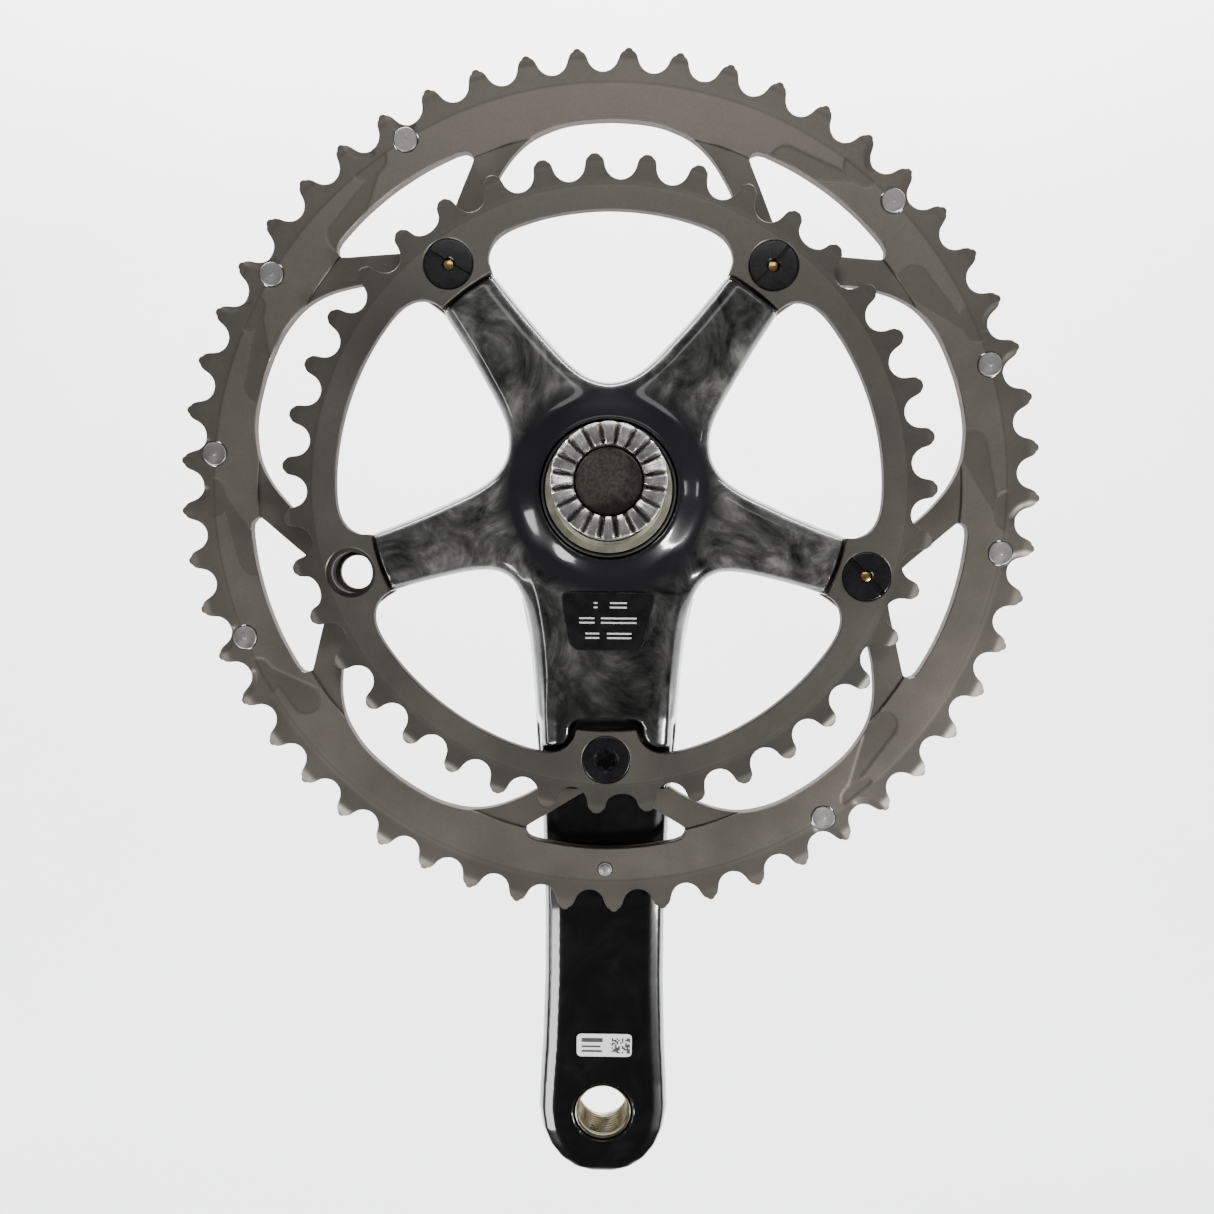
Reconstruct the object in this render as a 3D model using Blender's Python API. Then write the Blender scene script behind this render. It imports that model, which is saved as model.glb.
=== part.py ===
"""Right-hand road bicycle crankset: carbon arm and spider, two chainrings, half spindle, bolts and pins.

Every shape is drawn looking at the inboard side: x to the right, y up, z towards the bicycle.
The empty crank_axis turns that drawing upright and puts the toothed end of the spindle at y = 0.
"""

import math

import bmesh
import bpy
from mathutils import Vector

MM = 0.001

CRANK_LENGTH = 170.0
BOLT_CIRCLE_R = 67.5
PITCH = 12.7
ROLLER_R = 3.95
BOLT_ANGLES = (-36.0, 36.0, 108.0, 180.0, 252.0)
FITTED_BOLTS = (-36.0, 36.0, 108.0)
ARM_BOLT = 180.0
SPIDER_BOLTS = tuple(angle for angle in BOLT_ANGLES if angle != ARM_BOLT)
SPINDLE_REACH = 39.0

OUTER_TEETH = 53
OUTER_TIP_R = 109.3
OUTER_PHASE = -1.25
OUTER_STEP_R = 100.6
OUTER_RIM_R = 89.3
OUTER_FACE = -6.9
OUTER_WEB = -7.4
OUTER_TOOTH = (-9.4, -7.3)
OUTER_BACK = -10.3

INNER_TEETH = 39
INNER_TIP_R = 81.4
INNER_PHASE = 1.67
INNER_STEP_R = 73.6
INNER_FACE = 0.4
INNER_TOOTH = (-2.0, 0.0)
INNER_BACK = -2.6

TAB_END_R = 60.3
ARM_END_R = 59.7
TONGUE = (-6.6, -2.9)
TONGUE_HALF = 7.4
OUTER_HOLE_R = 4.25
INNER_HOLE_R = 5.25
SINK_R = 6.3
SINK_DEPTH = 1.6
HEAD_R = 6.0
HEAD_DEPTH = 1.3
SLEEVE_R = 4.95
SHANK_R = 3.85
SLOT_HALF = 0.8
SLOT_TURNS = (120.0, 40.0, 135.0)
BUSHING_R = 6.5
# Levels of the spider: height, and how far its sides have rounded in there.
SPIDER_LEVELS = ((-10.6, 1.8), (-8.4, 0.2), (-3.6, 0.0), (-1.4, 0.9), (0.0, 2.3), (0.6, 4.2))
PIN_TEETH = (6, 10, 14, 21, 36, 40, 44, 48)
PIN_LEAD = 1.2
PIN_CIRCLE_R = 100.6
PIN_R = 3.05
CATCH_PIN_R = 1.8
CATCH_PIN_Y = -97.6

SPINDLE_R = 12.5
SPINDLE_BORE_R = 7.6
SPINDLE_FOOT = -12.0
FACE_TEETH = 20
FACE_TOOTH_DEPTH = 1.9
FACE_TOOTH_HALF = (8.2, 4.6)
SHOULDER = (1.3, 5.0)
SEAL_R = 16.6
SEAL_WALL = 0.8
CAP_R = 10.0
PEDAL_HOLE_R = 6.9
PEDAL_SLEEVE_R = 7.8
PEDAL_SEAT_R = 9.5
PEDAL_SEAT = -33.75
PEDAL_INNER = -20.3

BADGE_Z = (1.8, 2.3)
BADGE_CORNERS = ((-11.6, -25.3), (11.9, -25.3), (8.6, -39.6), (-8.8, -39.6))
LABEL_SPOT = (0.2, -149.6, -17.45)
LABEL_CORNERS = ((-7.5, -3.4), (7.5, -3.4), (7.5, 3.4), (-7.5, 3.4))
LABEL_SLOPE = math.atan(0.13)
GAP = 0.3

# Half outline of a window between two spider arms, from its inner end out to the arm end.
WINDOW_HALF = (
    (0.0, 27.0), (5.0, 28.2), (10.0, 31.6), (15.0, 36.8), (20.0, 42.3), (25.0, 48.3), (28.4, 52.5),
)
# The window beside the crank arm, from the spider arm round its inner corner and down the crank arm.
SIDE_WINDOW = (
    (54.2, -25.1), (50.0, -24.0), (43.0, -22.2), (36.0, -20.6), (30.5, -20.0), (26.5, -20.8),
    (23.2, -23.7), (21.3, -28.0), (20.0, -33.0), (19.3, -38.0), (18.4, -47.0), (17.4, -57.0),
)
# Openings of the rings, as angle from the middle of the opening and radius.
OUTER_OPENING = (
    (0.0, 91.8), (6.3, 91.5), (9.8, 90.7), (13.2, 89.2), (16.6, 86.4), (19.7, 82.9),
    (22.5, 79.4), (25.0, 75.5), (26.7, 71.0), (27.7, 66.5), (28.4, 63.0), (28.7, TAB_END_R),
)
INNER_OPENING = (
    (0.0, 67.9), (8.0, 67.9), (16.0, 67.9), (21.5, 67.7), (24.6, 66.9), (26.8, 65.3),
    (28.2, 63.2), (28.7, 61.6), (28.8, TAB_END_R),
)
# A closed window behind each bolt of the outer ring, as angle from the bolt and radius.
OUTER_WINDOW_HALF = (
    (0.0, 92.2), (6.0, 92.1), (11.5, 91.8), (12.9, 91.3), (13.5, 90.3), (13.2, 88.8),
    (11.2, 85.8), (8.0, 81.7), (5.0, 78.4), (2.6, 76.6), (0.0, 76.0),
)
# Crank arm stations: y, greatest half width, half width of the inboard face, inboard face, outboard face
# and depth of the channel between the rails.
ARM_STATIONS = (
    (8.0, 14.0, 13.6, 0.4, -15.0, 0.0),
    (-8.0, 19.4, 18.4, 1.4, -17.0, 0.0),
    (-20.0, 23.4, 20.8, 2.4, -18.4, 0.5),
    (-28.0, 22.2, 19.2, 2.6, -19.2, 0.8),
    (-38.0, 20.2, 17.6, 2.6, -20.2, 0.9),
    (-48.0, 19.2, 16.9, 2.6, -21.2, 0.9),
    (-56.6, 18.7, 16.6, 2.3, -22.0, 0.8),
    (-64.5, 18.3, 16.4, 0.9, -22.7, 0.5),
    (-68.0, 18.1, 16.4, 0.0, -23.0, 0.0),
    (-75.5, 17.7, 16.4, -1.7, -23.6, 0.0),
    (-77.0, 17.6, 16.9, -11.2, -23.8, 0.0),
    (-92.0, 16.9, 16.5, -11.3, -25.4, 0.0),
    (-110.0, 16.2, 16.0, -12.6, -27.2, 0.0),
    (-130.0, 16.25, 16.1, -15.2, -29.4, 0.0),
    (-150.0, 17.0, 16.8, -17.8, -31.6, 0.0),
    (-162.0, 17.7, 17.5, -19.4, -32.8, 0.0),
    (-170.0, 18.0, 17.8, -20.0, -33.3, 0.0),
    (-175.6, 17.2, 17.0, -20.0, -33.4, 0.0),
    (-180.2, 15.3, 15.1, -20.2, -33.2, 0.0),
    (-184.0, 12.4, 12.2, -20.6, -32.8, 0.0),
    (-186.9, 8.6, 8.4, -21.6, -31.8, 0.0),
    (-188.7, 4.0, 3.8, -23.2, -30.2, 0.0),
)
# Half outline of the pocket that holds the fifth tab of the inner ring.
POCKET_HALF = (
    (0.0, -56.8), (7.4, -57.1), (8.9, -58.2), (9.3, -60.2), (9.6, -61.8), (10.6, -63.3),
    (13.2, -64.3), (17.5, -64.1), (24.0, -62.4), (30.0, -62.0), (30.0, -90.0),
)
# Hub of the arm from its outboard face to the collar round the spindle: radius and height.
HUB_STEPS = (
    (12.0, -18.6), (16.5, -18.2), (20.5, -15.8), (23.0, -11.0), (24.2, -5.0), (25.0, -1.4),
    (23.6, 0.5), (21.5, 1.9), (19.6, 3.1), (18.7, 3.7), (17.8, 4.0), (15.0, 4.0),
)


def clear_scene():
    for obj in list(bpy.data.objects):
        bpy.data.objects.remove(obj, do_unlink=True)


def polar(angle, radius):
    """A point from an angle clockwise from twelve o'clock and a radius."""
    turn = math.radians(angle)
    return (radius * math.sin(turn), radius * math.cos(turn))


def turned(points, angle):
    """The points turned clockwise about the spindle axis."""
    c = math.cos(math.radians(angle))
    s = math.sin(math.radians(angle))
    return [(x * c + y * s, y * c - x * s) for x, y in points]


def smooth(points, steps):
    """Catmull-Rom curve through the points."""
    out = []
    last = len(points) - 1
    for i in range(last):
        p0 = Vector(points[max(i - 1, 0)])
        p1 = Vector(points[i])
        p2 = Vector(points[i + 1])
        p3 = Vector(points[min(i + 2, last)])
        for k in range(steps):
            t = k / steps
            q = 2 * p1 + (p2 - p0) * t + (2 * p0 - 5 * p1 + 4 * p2 - p3) * t * t
            q = (q + (3 * p1 - p0 - 3 * p2 + p3) * t ** 3) / 2
            out.append((q.x, q.y))
    out.append(tuple(points[-1]))
    return out


def circle(x, y, radius, count):
    turns = [2 * math.pi * k / count for k in range(count)]
    return [(x + radius * math.cos(a), y + radius * math.sin(a)) for a in turns]


def signed_area(points):
    return sum(a[0] * b[1] - b[0] * a[1] for a, b in zip(points, points[1:] + points[:1])) / 2


def inset(points, amount):
    """The counter-clockwise outline moved inwards by the amount."""
    out = []
    count = len(points)
    for i in range(count):
        a = Vector(points[i - 1])
        b = Vector(points[i])
        c = Vector(points[(i + 1) % count])
        first = (b - a).normalized()
        second = (c - b).normalized()
        normal = Vector((-(first.y + second.y), first.x + second.x)).normalized()
        share = max(0.5, normal.dot(Vector((-first.y, first.x))))
        moved = b + normal * (amount / share)
        out.append((moved.x, moved.y))
    return out


def object_from(name, bm, axis):
    bmesh.ops.recalc_face_normals(bm, faces=bm.faces)
    mesh = bpy.data.meshes.new(name)
    bm.to_mesh(mesh)
    bm.free()
    obj = bpy.data.objects.new(name, mesh)
    bpy.context.collection.objects.link(obj)
    obj.parent = axis
    return obj


def add_loops(bm, loops):
    """Closed body from rings of points of equal count, capped at both ends."""
    rows = [[bm.verts.new((x * MM, y * MM, z * MM)) for x, y, z in loop] for loop in loops]
    count = len(rows[0])
    for low, high in zip(rows, rows[1:]):
        for i in range(count):
            j = (i + 1) % count
            bm.faces.new((low[i], low[j], high[j], high[i]))
    bm.faces.new(list(reversed(rows[0])))
    bm.faces.new(rows[-1])


def add_prism(bm, outline, z0, z1):
    if signed_area(outline) < 0:
        outline = outline[::-1]
    add_loops(bm, [[(x, y, z) for x, y in outline] for z in (z0, z1)])


def prism(name, outlines, z0, z1, axis):
    """One object from several separate outlines of the same height."""
    bm = bmesh.new()
    for outline in outlines:
        add_prism(bm, outline, z0, z1)
    return object_from(name, bm, axis)


def add_turned(bm, profile, count, x=0.0, y=0.0):
    """A closed body turned about a line through x, y, from a closed profile of radius and height."""
    rows = []
    for k in range(count):
        a = 2 * math.pi * k / count
        c = math.cos(a)
        s = math.sin(a)
        rows.append([bm.verts.new(((x + r * c) * MM, (y + r * s) * MM, z * MM)) for r, z in profile])
    size = len(profile)
    for k in range(count):
        here = rows[k]
        there = rows[(k + 1) % count]
        for i in range(size):
            j = (i + 1) % size
            bm.faces.new((here[i], here[j], there[j], there[i]))


def ring_body(name, profile, count, axis, x=0.0, y=0.0):
    bm = bmesh.new()
    add_turned(bm, profile, count, x, y)
    return object_from(name, bm, axis)


def disc_body(name, steps, count, axis, x=0.0, y=0.0):
    """A solid of stacked circles, each given as radius and height."""
    bm = bmesh.new()
    add_loops(bm, [[(px, py, z) for px, py in circle(x, y, r, count)] for r, z in steps])
    return object_from(name, bm, axis)


def boolean(target, tool, operation):
    tool.hide_render = True
    tool.display_type = "WIRE"
    modifier = target.modifiers.new(operation.lower(), "BOOLEAN")
    modifier.operation = operation
    modifier.solver = "EXACT"
    modifier.object = tool


def material(name, colour, metallic, roughness):
    mat = bpy.data.materials.new(name)
    mat.use_nodes = True
    shader = mat.node_tree.nodes["Principled BSDF"]
    shader.inputs["Base Color"].default_value = (*colour, 1.0)
    shader.inputs["Metallic"].default_value = metallic
    shader.inputs["Roughness"].default_value = roughness
    return mat


def carbon():
    return material("lacquered_carbon", (0.028, 0.029, 0.031), 0.0, 0.16)


def anodised_alloy():
    return material("anodised_alloy", (0.155, 0.145, 0.130), 0.85, 0.42)


def polished_steel():
    return material("polished_steel", (0.62, 0.61, 0.60), 1.0, 0.20)


def olive_alloy():
    return material("olive_alloy", (0.30, 0.29, 0.22), 0.8, 0.38)


def black_alloy():
    return material("black_alloy", (0.022, 0.024, 0.028), 0.4, 0.36)


def plated_steel():
    return material("plated_steel", (0.62, 0.46, 0.20), 1.0, 0.28)


def pin_steel():
    return material("pin_steel", (0.52, 0.51, 0.50), 1.0, 0.34)


def black_rubber():
    return material("black_rubber", (0.016, 0.016, 0.017), 0.0, 0.55)


def plug_plastic():
    return material("plug_plastic", (0.075, 0.070, 0.055), 0.1, 0.50)


def badge_black():
    return material("badge_black", (0.010, 0.010, 0.011), 0.0, 0.34)


def label_white():
    return material("label_white", (0.80, 0.80, 0.80), 0.0, 0.45)


def sprocket_outline(teeth, tip_r, tip_half, phase, filled=()):
    """Toothed outline: round roller seats on the pitch circle, narrow pointed teeth between them."""
    pitch_r = PITCH / 2 / math.sin(math.pi / teeth)
    step = 360.0 / teeth
    points = []
    for k in range(teeth):
        valley = phase + k * step
        near_bolt = any(abs((valley - angle + 180) % 360 - 180) < 4.2 for angle in filled)
        seat_r = ROLLER_R - 1.3 if near_bolt else ROLLER_R
        for swing in (-74, -37, 0, 37, 74):
            side = ROLLER_R * math.sin(math.radians(swing))
            rise = -seat_r * math.cos(math.radians(swing))
            points.append(polar(valley + math.degrees(side / pitch_r), pitch_r + rise))
        tooth = valley + step / 2
        waist = math.degrees((tip_half + 0.55) / pitch_r)
        crest = math.degrees(tip_half * 0.72 / pitch_r)
        points.append(polar(tooth - waist, pitch_r + 0.6 * (tip_r - pitch_r)))
        points.append(polar(tooth - crest, tip_r))
        points.append(polar(tooth + crest, tip_r))
        points.append(polar(tooth + waist, pitch_r + 0.6 * (tip_r - pitch_r)))
    return points


def tabbed_opening(profile):
    """Closed outline of the middle of a ring with five tabs reaching inwards."""
    points = []
    edge = profile[-1][0]
    for k in range(5):
        middle = 72.0 * k
        points += [polar(middle - angle, radius) for angle, radius in reversed(profile)]
        points += [polar(middle + angle, radius) for angle, radius in profile[1:]]
        for share in (0.25, 0.5, 0.75):
            points.append(polar(middle + edge + (72 - 2 * edge) * share, TAB_END_R))
    return points


def bolt_window(bolt_angle):
    points = [polar(bolt_angle + angle, radius) for angle, radius in OUTER_WINDOW_HALF]
    back = reversed(OUTER_WINDOW_HALF[1:-1])
    return points + [polar(bolt_angle - angle, radius) for angle, radius in back]


def hole(bm, angle, radius, z0, z1, count=20, circle_r=BOLT_CIRCLE_R):
    x, y = polar(angle, circle_r)
    add_prism(bm, circle(x, y, radius, count), z0, z1)


def pin_angle(tooth):
    return OUTER_PHASE + (tooth + 0.5) * 360.0 / OUTER_TEETH + PIN_LEAD


def outer_chainring(axis, mat):
    teeth = sprocket_outline(OUTER_TEETH, OUTER_TIP_R, 1.15, OUTER_PHASE)
    ring = prism("outer_chainring", [teeth], *OUTER_TOOTH, axis)
    body = prism("outer_body", [circle(0, 0, OUTER_STEP_R, 80)], OUTER_BACK, OUTER_FACE, axis)
    boolean(ring, body, "UNION")
    web = prism("outer_web_cut", [circle(0, 0, OUTER_RIM_R, 72)], OUTER_WEB, -4, axis)
    boolean(ring, web, "DIFFERENCE")
    cutter = bmesh.new()
    add_prism(cutter, tabbed_opening(OUTER_OPENING), -14, -4)
    for angle in BOLT_ANGLES:
        add_prism(cutter, bolt_window(angle), -14, -4)
        hole(cutter, angle, OUTER_HOLE_R, -14, -4)
    for tooth in PIN_TEETH:
        hole(cutter, pin_angle(tooth), PIN_R + GAP, -14, -4, 16, PIN_CIRCLE_R)
    add_prism(cutter, circle(0, CATCH_PIN_Y, CATCH_PIN_R + GAP, 14), -14, -4)
    boolean(ring, object_from("outer_holes", cutter, axis), "DIFFERENCE")
    sinks = bmesh.new()
    for angle in SPIDER_BOLTS:
        hole(sinks, angle, SINK_R, -14, OUTER_BACK + 1.5)
    boolean(ring, object_from("outer_sinks", sinks, axis), "DIFFERENCE")
    ring.data.materials.append(mat)


def inner_chainring(axis, mat):
    teeth = sprocket_outline(INNER_TEETH, INNER_TIP_R, 1.5, INNER_PHASE, BOLT_ANGLES)
    ring = prism("inner_chainring", [teeth], *INNER_TOOTH, axis)
    body = prism("inner_body", [circle(0, 0, INNER_STEP_R, 78)], INNER_BACK, INNER_FACE, axis)
    boolean(ring, body, "UNION")
    cutter = bmesh.new()
    add_prism(cutter, tabbed_opening(INNER_OPENING), -6, 4)
    for angle in BOLT_ANGLES:
        hole(cutter, angle, INNER_HOLE_R, -6, 4)
    boolean(ring, object_from("inner_holes", cutter, axis), "DIFFERENCE")
    sinks = bmesh.new()
    for angle in BOLT_ANGLES:
        hole(sinks, angle, SINK_R, INNER_FACE - SINK_DEPTH, 4, 28)
    boolean(ring, object_from("inner_sinks", sinks, axis), "DIFFERENCE")
    ring.data.materials.append(mat)


def window_outline():
    half = smooth(WINDOW_HALF, 2)
    return [(-x, y) for x, y in reversed(half)] + half[1:]


def spider_outline():
    """Five-armed outline; the fifth arm runs into the crank arm."""
    side = smooth(SIDE_WINDOW, 2)
    points = window_outline() + [polar(36, ARM_END_R)]
    points += turned(window_outline(), 72) + [polar(108, ARM_END_R)]
    points += side
    points += [(-x, y) for x, y in reversed(side)] + [polar(252, ARM_END_R)]
    points += turned(window_outline(), 288) + [polar(324, ARM_END_R)]
    return points[::-1]


def arm_section(y, half, front, inboard, outboard, channel):
    """Section of the crank arm: rounded back, rounded rails and a shallow channel on the inboard side."""
    depth = inboard - outboard
    edge = min(4.2, depth * 0.3, front * 0.33)
    back = min(5.5, depth * 0.36, half * 0.42)
    upper = [
        (half, inboard - depth * 0.6),
        (front, inboard - edge),
        (front - 0.27 * edge, inboard - 0.27 * edge),
        (front - edge, inboard),
        (front * 0.60, inboard - 0.5 * channel),
        (front * 0.36, inboard - channel),
    ]
    lower = [
        (half * 0.5, outboard),
        (half - back, outboard + 0.35),
        (half - 0.3 * back, outboard + 0.42 * back),
    ]
    right = lower + upper
    return [(x, y, z) for x, z in right] + [(-x, y, z) for x, z in reversed(right)]


def tongue_outline(angle):
    """Thin end of a spider arm that carries the rings, round about its bolt."""
    half = TONGUE_HALF
    turns = [math.radians(a) for a in range(180, -1, -20)]
    tip = [(half * math.cos(a), BOLT_CIRCLE_R + half * math.sin(a)) for a in turns]
    return turned([(-half, 52.0)] + tip + [(half, 52.0)], angle)


def spider_loop(outline, step):
    """The outline with its sides moved in by the step, while the arm ends keep nearly their full length."""
    loop = []
    for before, after in zip(outline, inset(outline, step)):
        if math.hypot(*before) > ARM_END_R - 0.3:
            share = (ARM_END_R - 0.12 * step) / math.hypot(*after)
            after = (after[0] * share, after[1] * share)
        loop.append(after)
    return loop


def crank_arm(axis, mat):
    outline = spider_outline()
    bm = bmesh.new()
    add_loops(bm, [[(x, y, z) for x, y in spider_loop(outline, step)] for z, step in SPIDER_LEVELS])
    arm = object_from("crank_arm", bm, axis)
    beam = bmesh.new()
    add_loops(beam, [arm_section(*station) for station in ARM_STATIONS])
    boolean(arm, object_from("arm_beam", beam, axis), "UNION")
    boolean(arm, disc_body("arm_hub", HUB_STEPS, 40, axis), "UNION")
    tongues = prism("arm_tongues", [tongue_outline(a) for a in SPIDER_BOLTS], *TONGUE, axis)
    boolean(arm, tongues, "UNION")
    boolean(arm, arm_bores(axis), "DIFFERENCE")
    boolean(arm, ring_slot(axis), "DIFFERENCE")
    boolean(arm, tab_pocket(axis), "DIFFERENCE")
    boolean(arm, arm_recesses(axis), "DIFFERENCE")
    arm.data.materials.append(mat)


def arm_bores(axis):
    """Bores for the spindle, the pedal insert and the ring bolts."""
    cutter = bmesh.new()
    add_prism(cutter, circle(0, 0, SPINDLE_R + GAP, 40), SPINDLE_FOOT - GAP, 12)
    add_prism(cutter, circle(0, -CRANK_LENGTH, PEDAL_SLEEVE_R + GAP, 32), -40, -10)
    for angle in SPIDER_BOLTS:
        hole(cutter, angle, BUSHING_R + GAP, -12, 4)
    x, y = polar(ARM_BOLT, BOLT_CIRCLE_R)
    steps = ((5.4, -19.5), (5.4, -9.0), (4.0, -9.0), (4.0, 4.0))
    add_loops(cutter, [[(px, py, z) for px, py in circle(x, y, r, 24)] for r, z in steps])
    return object_from("arm_bores_cut", cutter, axis)


def ring_slot(axis):
    """Slot behind the fifth tongue for the tab of the outer ring."""
    cutter = bmesh.new()
    slot = [(-30, -90), (30, -90), (30, -ARM_END_R), (-30, -ARM_END_R)]
    add_prism(cutter, slot, OUTER_BACK - GAP, TONGUE[0])
    return object_from("arm_slot_cut", cutter, axis)


def tab_pocket(axis):
    """Pocket open towards the bicycle, round the fifth tab of the inner ring and the ring beside it."""
    half = list(POCKET_HALF)
    outline = [(-x, y) for x, y in reversed(half[1:])] + half
    return prism("arm_pocket_cut", [outline], INNER_BACK - GAP, 8, axis)


def arm_recesses(axis):
    """Seats for the shoulder ring and seal, the dust cap and the seat face of the pedal insert."""
    cutter = bmesh.new()
    add_prism(cutter, circle(0, 0, SEAL_R + GAP, 40), 1.0, 12)
    add_prism(cutter, circle(0, -CRANK_LENGTH, PEDAL_SEAT_R + GAP, 32), -40, PEDAL_SEAT + 1.5)
    add_prism(cutter, circle(0, 0, CAP_R + GAP, 28), -25, -15.4)
    add_prism(cutter, inset(badge_outline()[::-1], -GAP), BADGE_Z[0] - GAP, 8)
    return object_from("arm_recess_cut", cutter, axis)


def spindle(axis, mat):
    """Half spindle: a tube with radial teeth on its end face and a foot bonded into the arm."""
    top = SPINDLE_REACH
    root = top - FACE_TOOTH_DEPTH
    bm = bmesh.new()
    bore = SPINDLE_BORE_R
    profile = ((bore, SPINDLE_FOOT), (SPINDLE_R, SPINDLE_FOOT), (SPINDLE_R, root), (bore, root))
    add_turned(bm, profile, 40)
    body = object_from("spindle", bm, axis)
    teeth = bmesh.new()
    for k in range(FACE_TEETH):
        middle = 360.0 * k / FACE_TEETH
        add_face_tooth(teeth, middle, root - 0.6, top)
    boolean(body, object_from("spindle_teeth", teeth, axis), "UNION")
    body.data.materials.append(mat)


def add_face_tooth(bm, middle, root, top):
    """One tapered radial tooth, wide at its foot and flat on top."""
    near = SPINDLE_BORE_R + 0.05
    far = SPINDLE_R - 0.05
    loops = []
    for z, half in zip((root, top), FACE_TOOTH_HALF):
        loop = [polar(middle - half, near), polar(middle - half, far), polar(middle, far)]
        loop += [polar(middle + half, far), polar(middle + half, near)]
        loops.append([(x, y, z) for x, y in loop])
    add_loops(bm, loops)


def shoulder_ring(axis, mat):
    low, high = SHOULDER
    inner = SPINDLE_R + GAP
    outer = inner + 2.7
    profile = (
        (inner, low), (outer, low), (outer, high - 0.3), (outer - 0.3, high),
        (inner + 0.4, high), (inner, high - 0.4),
    )
    ring_body("spindle_shoulder_ring", profile, 40, axis).data.materials.append(mat)


def spindle_seal(axis, mat):
    outer = SEAL_R
    inner = SEAL_R - SEAL_WALL
    profile = (
        (inner, 1.3), (outer, 1.3), (outer, 3.5), (outer - 0.2, 3.8), (inner + 0.2, 3.8), (inner, 3.5),
    )
    ring_body("spindle_seal", profile, 36, axis).data.materials.append(mat)


def bore_plug(axis, mat):
    """Disc that closes the bore of the spindle just below its teeth."""
    r = SPINDLE_BORE_R - GAP
    steps = ((r - 0.3, 32.0), (r, 32.3), (r, 35.6), (r - 0.3, 35.9))
    disc_body("bore_plug", steps, 28, axis).data.materials.append(mat)


def dust_cap(axis, mat):
    """Cap over the outboard end of the spindle bore."""
    r = CAP_R
    steps = ((r - 1.4, -19.0), (r - 0.4, -18.7), (r, -18.0), (r, -15.9), (r - 3.0, -15.7))
    disc_body("dust_cap", steps, 28, axis).data.materials.append(mat)


def pedal_insert(axis, mat):
    """Threaded insert of the pedal eye, with a flat seat on the outboard side."""
    r = PEDAL_HOLE_R
    sleeve = PEDAL_SLEEVE_R
    flange = PEDAL_SEAT + 1.2
    profile = (
        (r, PEDAL_SEAT), (PEDAL_SEAT_R, PEDAL_SEAT), (PEDAL_SEAT_R, flange), (sleeve, flange),
        (sleeve, PEDAL_INNER), (sleeve - 0.4, PEDAL_INNER + 0.3), (r + 0.3, PEDAL_INNER + 0.3),
        (r, PEDAL_INNER),
    )
    ring_body("pedal_insert", profile, 32, axis, 0.0, -CRANK_LENGTH).data.materials.append(mat)


def chainring_nut(number, angle, axis, mat):
    """Sleeve nut with a slotted head sunk in the inner ring."""
    x, y = polar(angle, BOLT_CIRCLE_R)
    top = INNER_FACE
    foot = top - HEAD_DEPTH
    profile = (
        (1.5, top), (HEAD_R - 0.3, top), (HEAD_R, top - 0.3), (HEAD_R, foot), (SLEEVE_R, foot),
        (SLEEVE_R, -7.0), (SHANK_R + GAP, -7.0), (SHANK_R + GAP, foot - 0.3), (1.5, foot - 0.3),
    )
    nut = ring_body(f"chainring_nut_{number}", profile, 24, axis, x, y)
    half = SLOT_HALF
    outline = turned([(-half, -9), (half, -9), (half, 9), (-half, 9)], SLOT_TURNS[number - 1])
    slot = prism(f"nut_slot_{number}", [outline], top - 0.8, top + 2, axis)
    slot.location = (x * MM, y * MM, 0)
    boolean(nut, slot, "DIFFERENCE")
    nut.data.materials.append(mat)


def chainring_bolt(number, angle, axis, mat):
    """Bolt from the outboard side: head with a star socket, shank inside the nut."""
    x, y = polar(angle, BOLT_CIRCLE_R)
    low = OUTER_BACK
    steps = (
        (HEAD_R - 0.4, low), (HEAD_R, low + 0.3), (HEAD_R, low + 1.2), (SHANK_R, low + 1.2),
        (SHANK_R, -2.2), (1.25, -1.9), (1.25, -0.45),
    )
    bolt = disc_body(f"chainring_bolt_{number}", steps, 20, axis, x, y)
    boolean(bolt, star_socket(f"bolt_socket_{number}", x, y, low - 1, low + 1.7, axis), "DIFFERENCE")
    bolt.data.materials.append(mat)


def star_socket(name, x, y, z0, z1, axis):
    points = []
    for k in range(12):
        radius = 2.65 if k % 2 else 2.05
        a = 2 * math.pi * k / 12
        points.append((x + radius * math.cos(a), y + radius * math.sin(a)))
    return prism(name, [points], z0, z1, axis)


def arm_screw(axis, mat):
    """Screw from the inboard side through both rings into the crank arm."""
    x, y = polar(ARM_BOLT, BOLT_CIRCLE_R)
    top = INNER_FACE
    foot = top - HEAD_DEPTH
    steps = (
        (3.5, -17.0), (3.7, -16.6), (3.7, foot), (HEAD_R, foot), (HEAD_R, top - 0.3), (HEAD_R - 0.4, top),
    )
    screw = disc_body("arm_screw", steps, 24, axis, x, y)
    boolean(screw, star_socket("arm_screw_socket", x, y, top - 2.2, top + 1, axis), "DIFFERENCE")
    screw.data.materials.append(mat)


def arm_insert(axis, mat):
    """Threaded insert in the crank arm for the screw behind the rings."""
    x, y = polar(ARM_BOLT, BOLT_CIRCLE_R)
    top = OUTER_BACK - 2 * GAP
    profile = ((4.0, -19.2), (5.1, -19.2), (5.1, top), (4.0, top))
    ring_body("arm_insert", profile, 18, axis, x, y).data.materials.append(mat)


def spider_bushing(number, angle, axis, mat):
    x, y = polar(angle, BOLT_CIRCLE_R)
    low, high = TONGUE
    profile = ((INNER_HOLE_R, low), (BUSHING_R, low), (BUSHING_R, high), (INNER_HOLE_R, high))
    ring_body(f"spider_bushing_{number}", profile, 20, axis, x, y).data.materials.append(mat)


def shift_pin(number, tooth, axis, mat):
    x, y = polar(pin_angle(tooth), PIN_CIRCLE_R)
    steps = ((2.7, -9.9), (PIN_R, -9.6), (PIN_R, -6.8), (2.7, -6.5))
    disc_body(f"shift_pin_{number}", steps, 16, axis, x, y).data.materials.append(mat)


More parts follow.
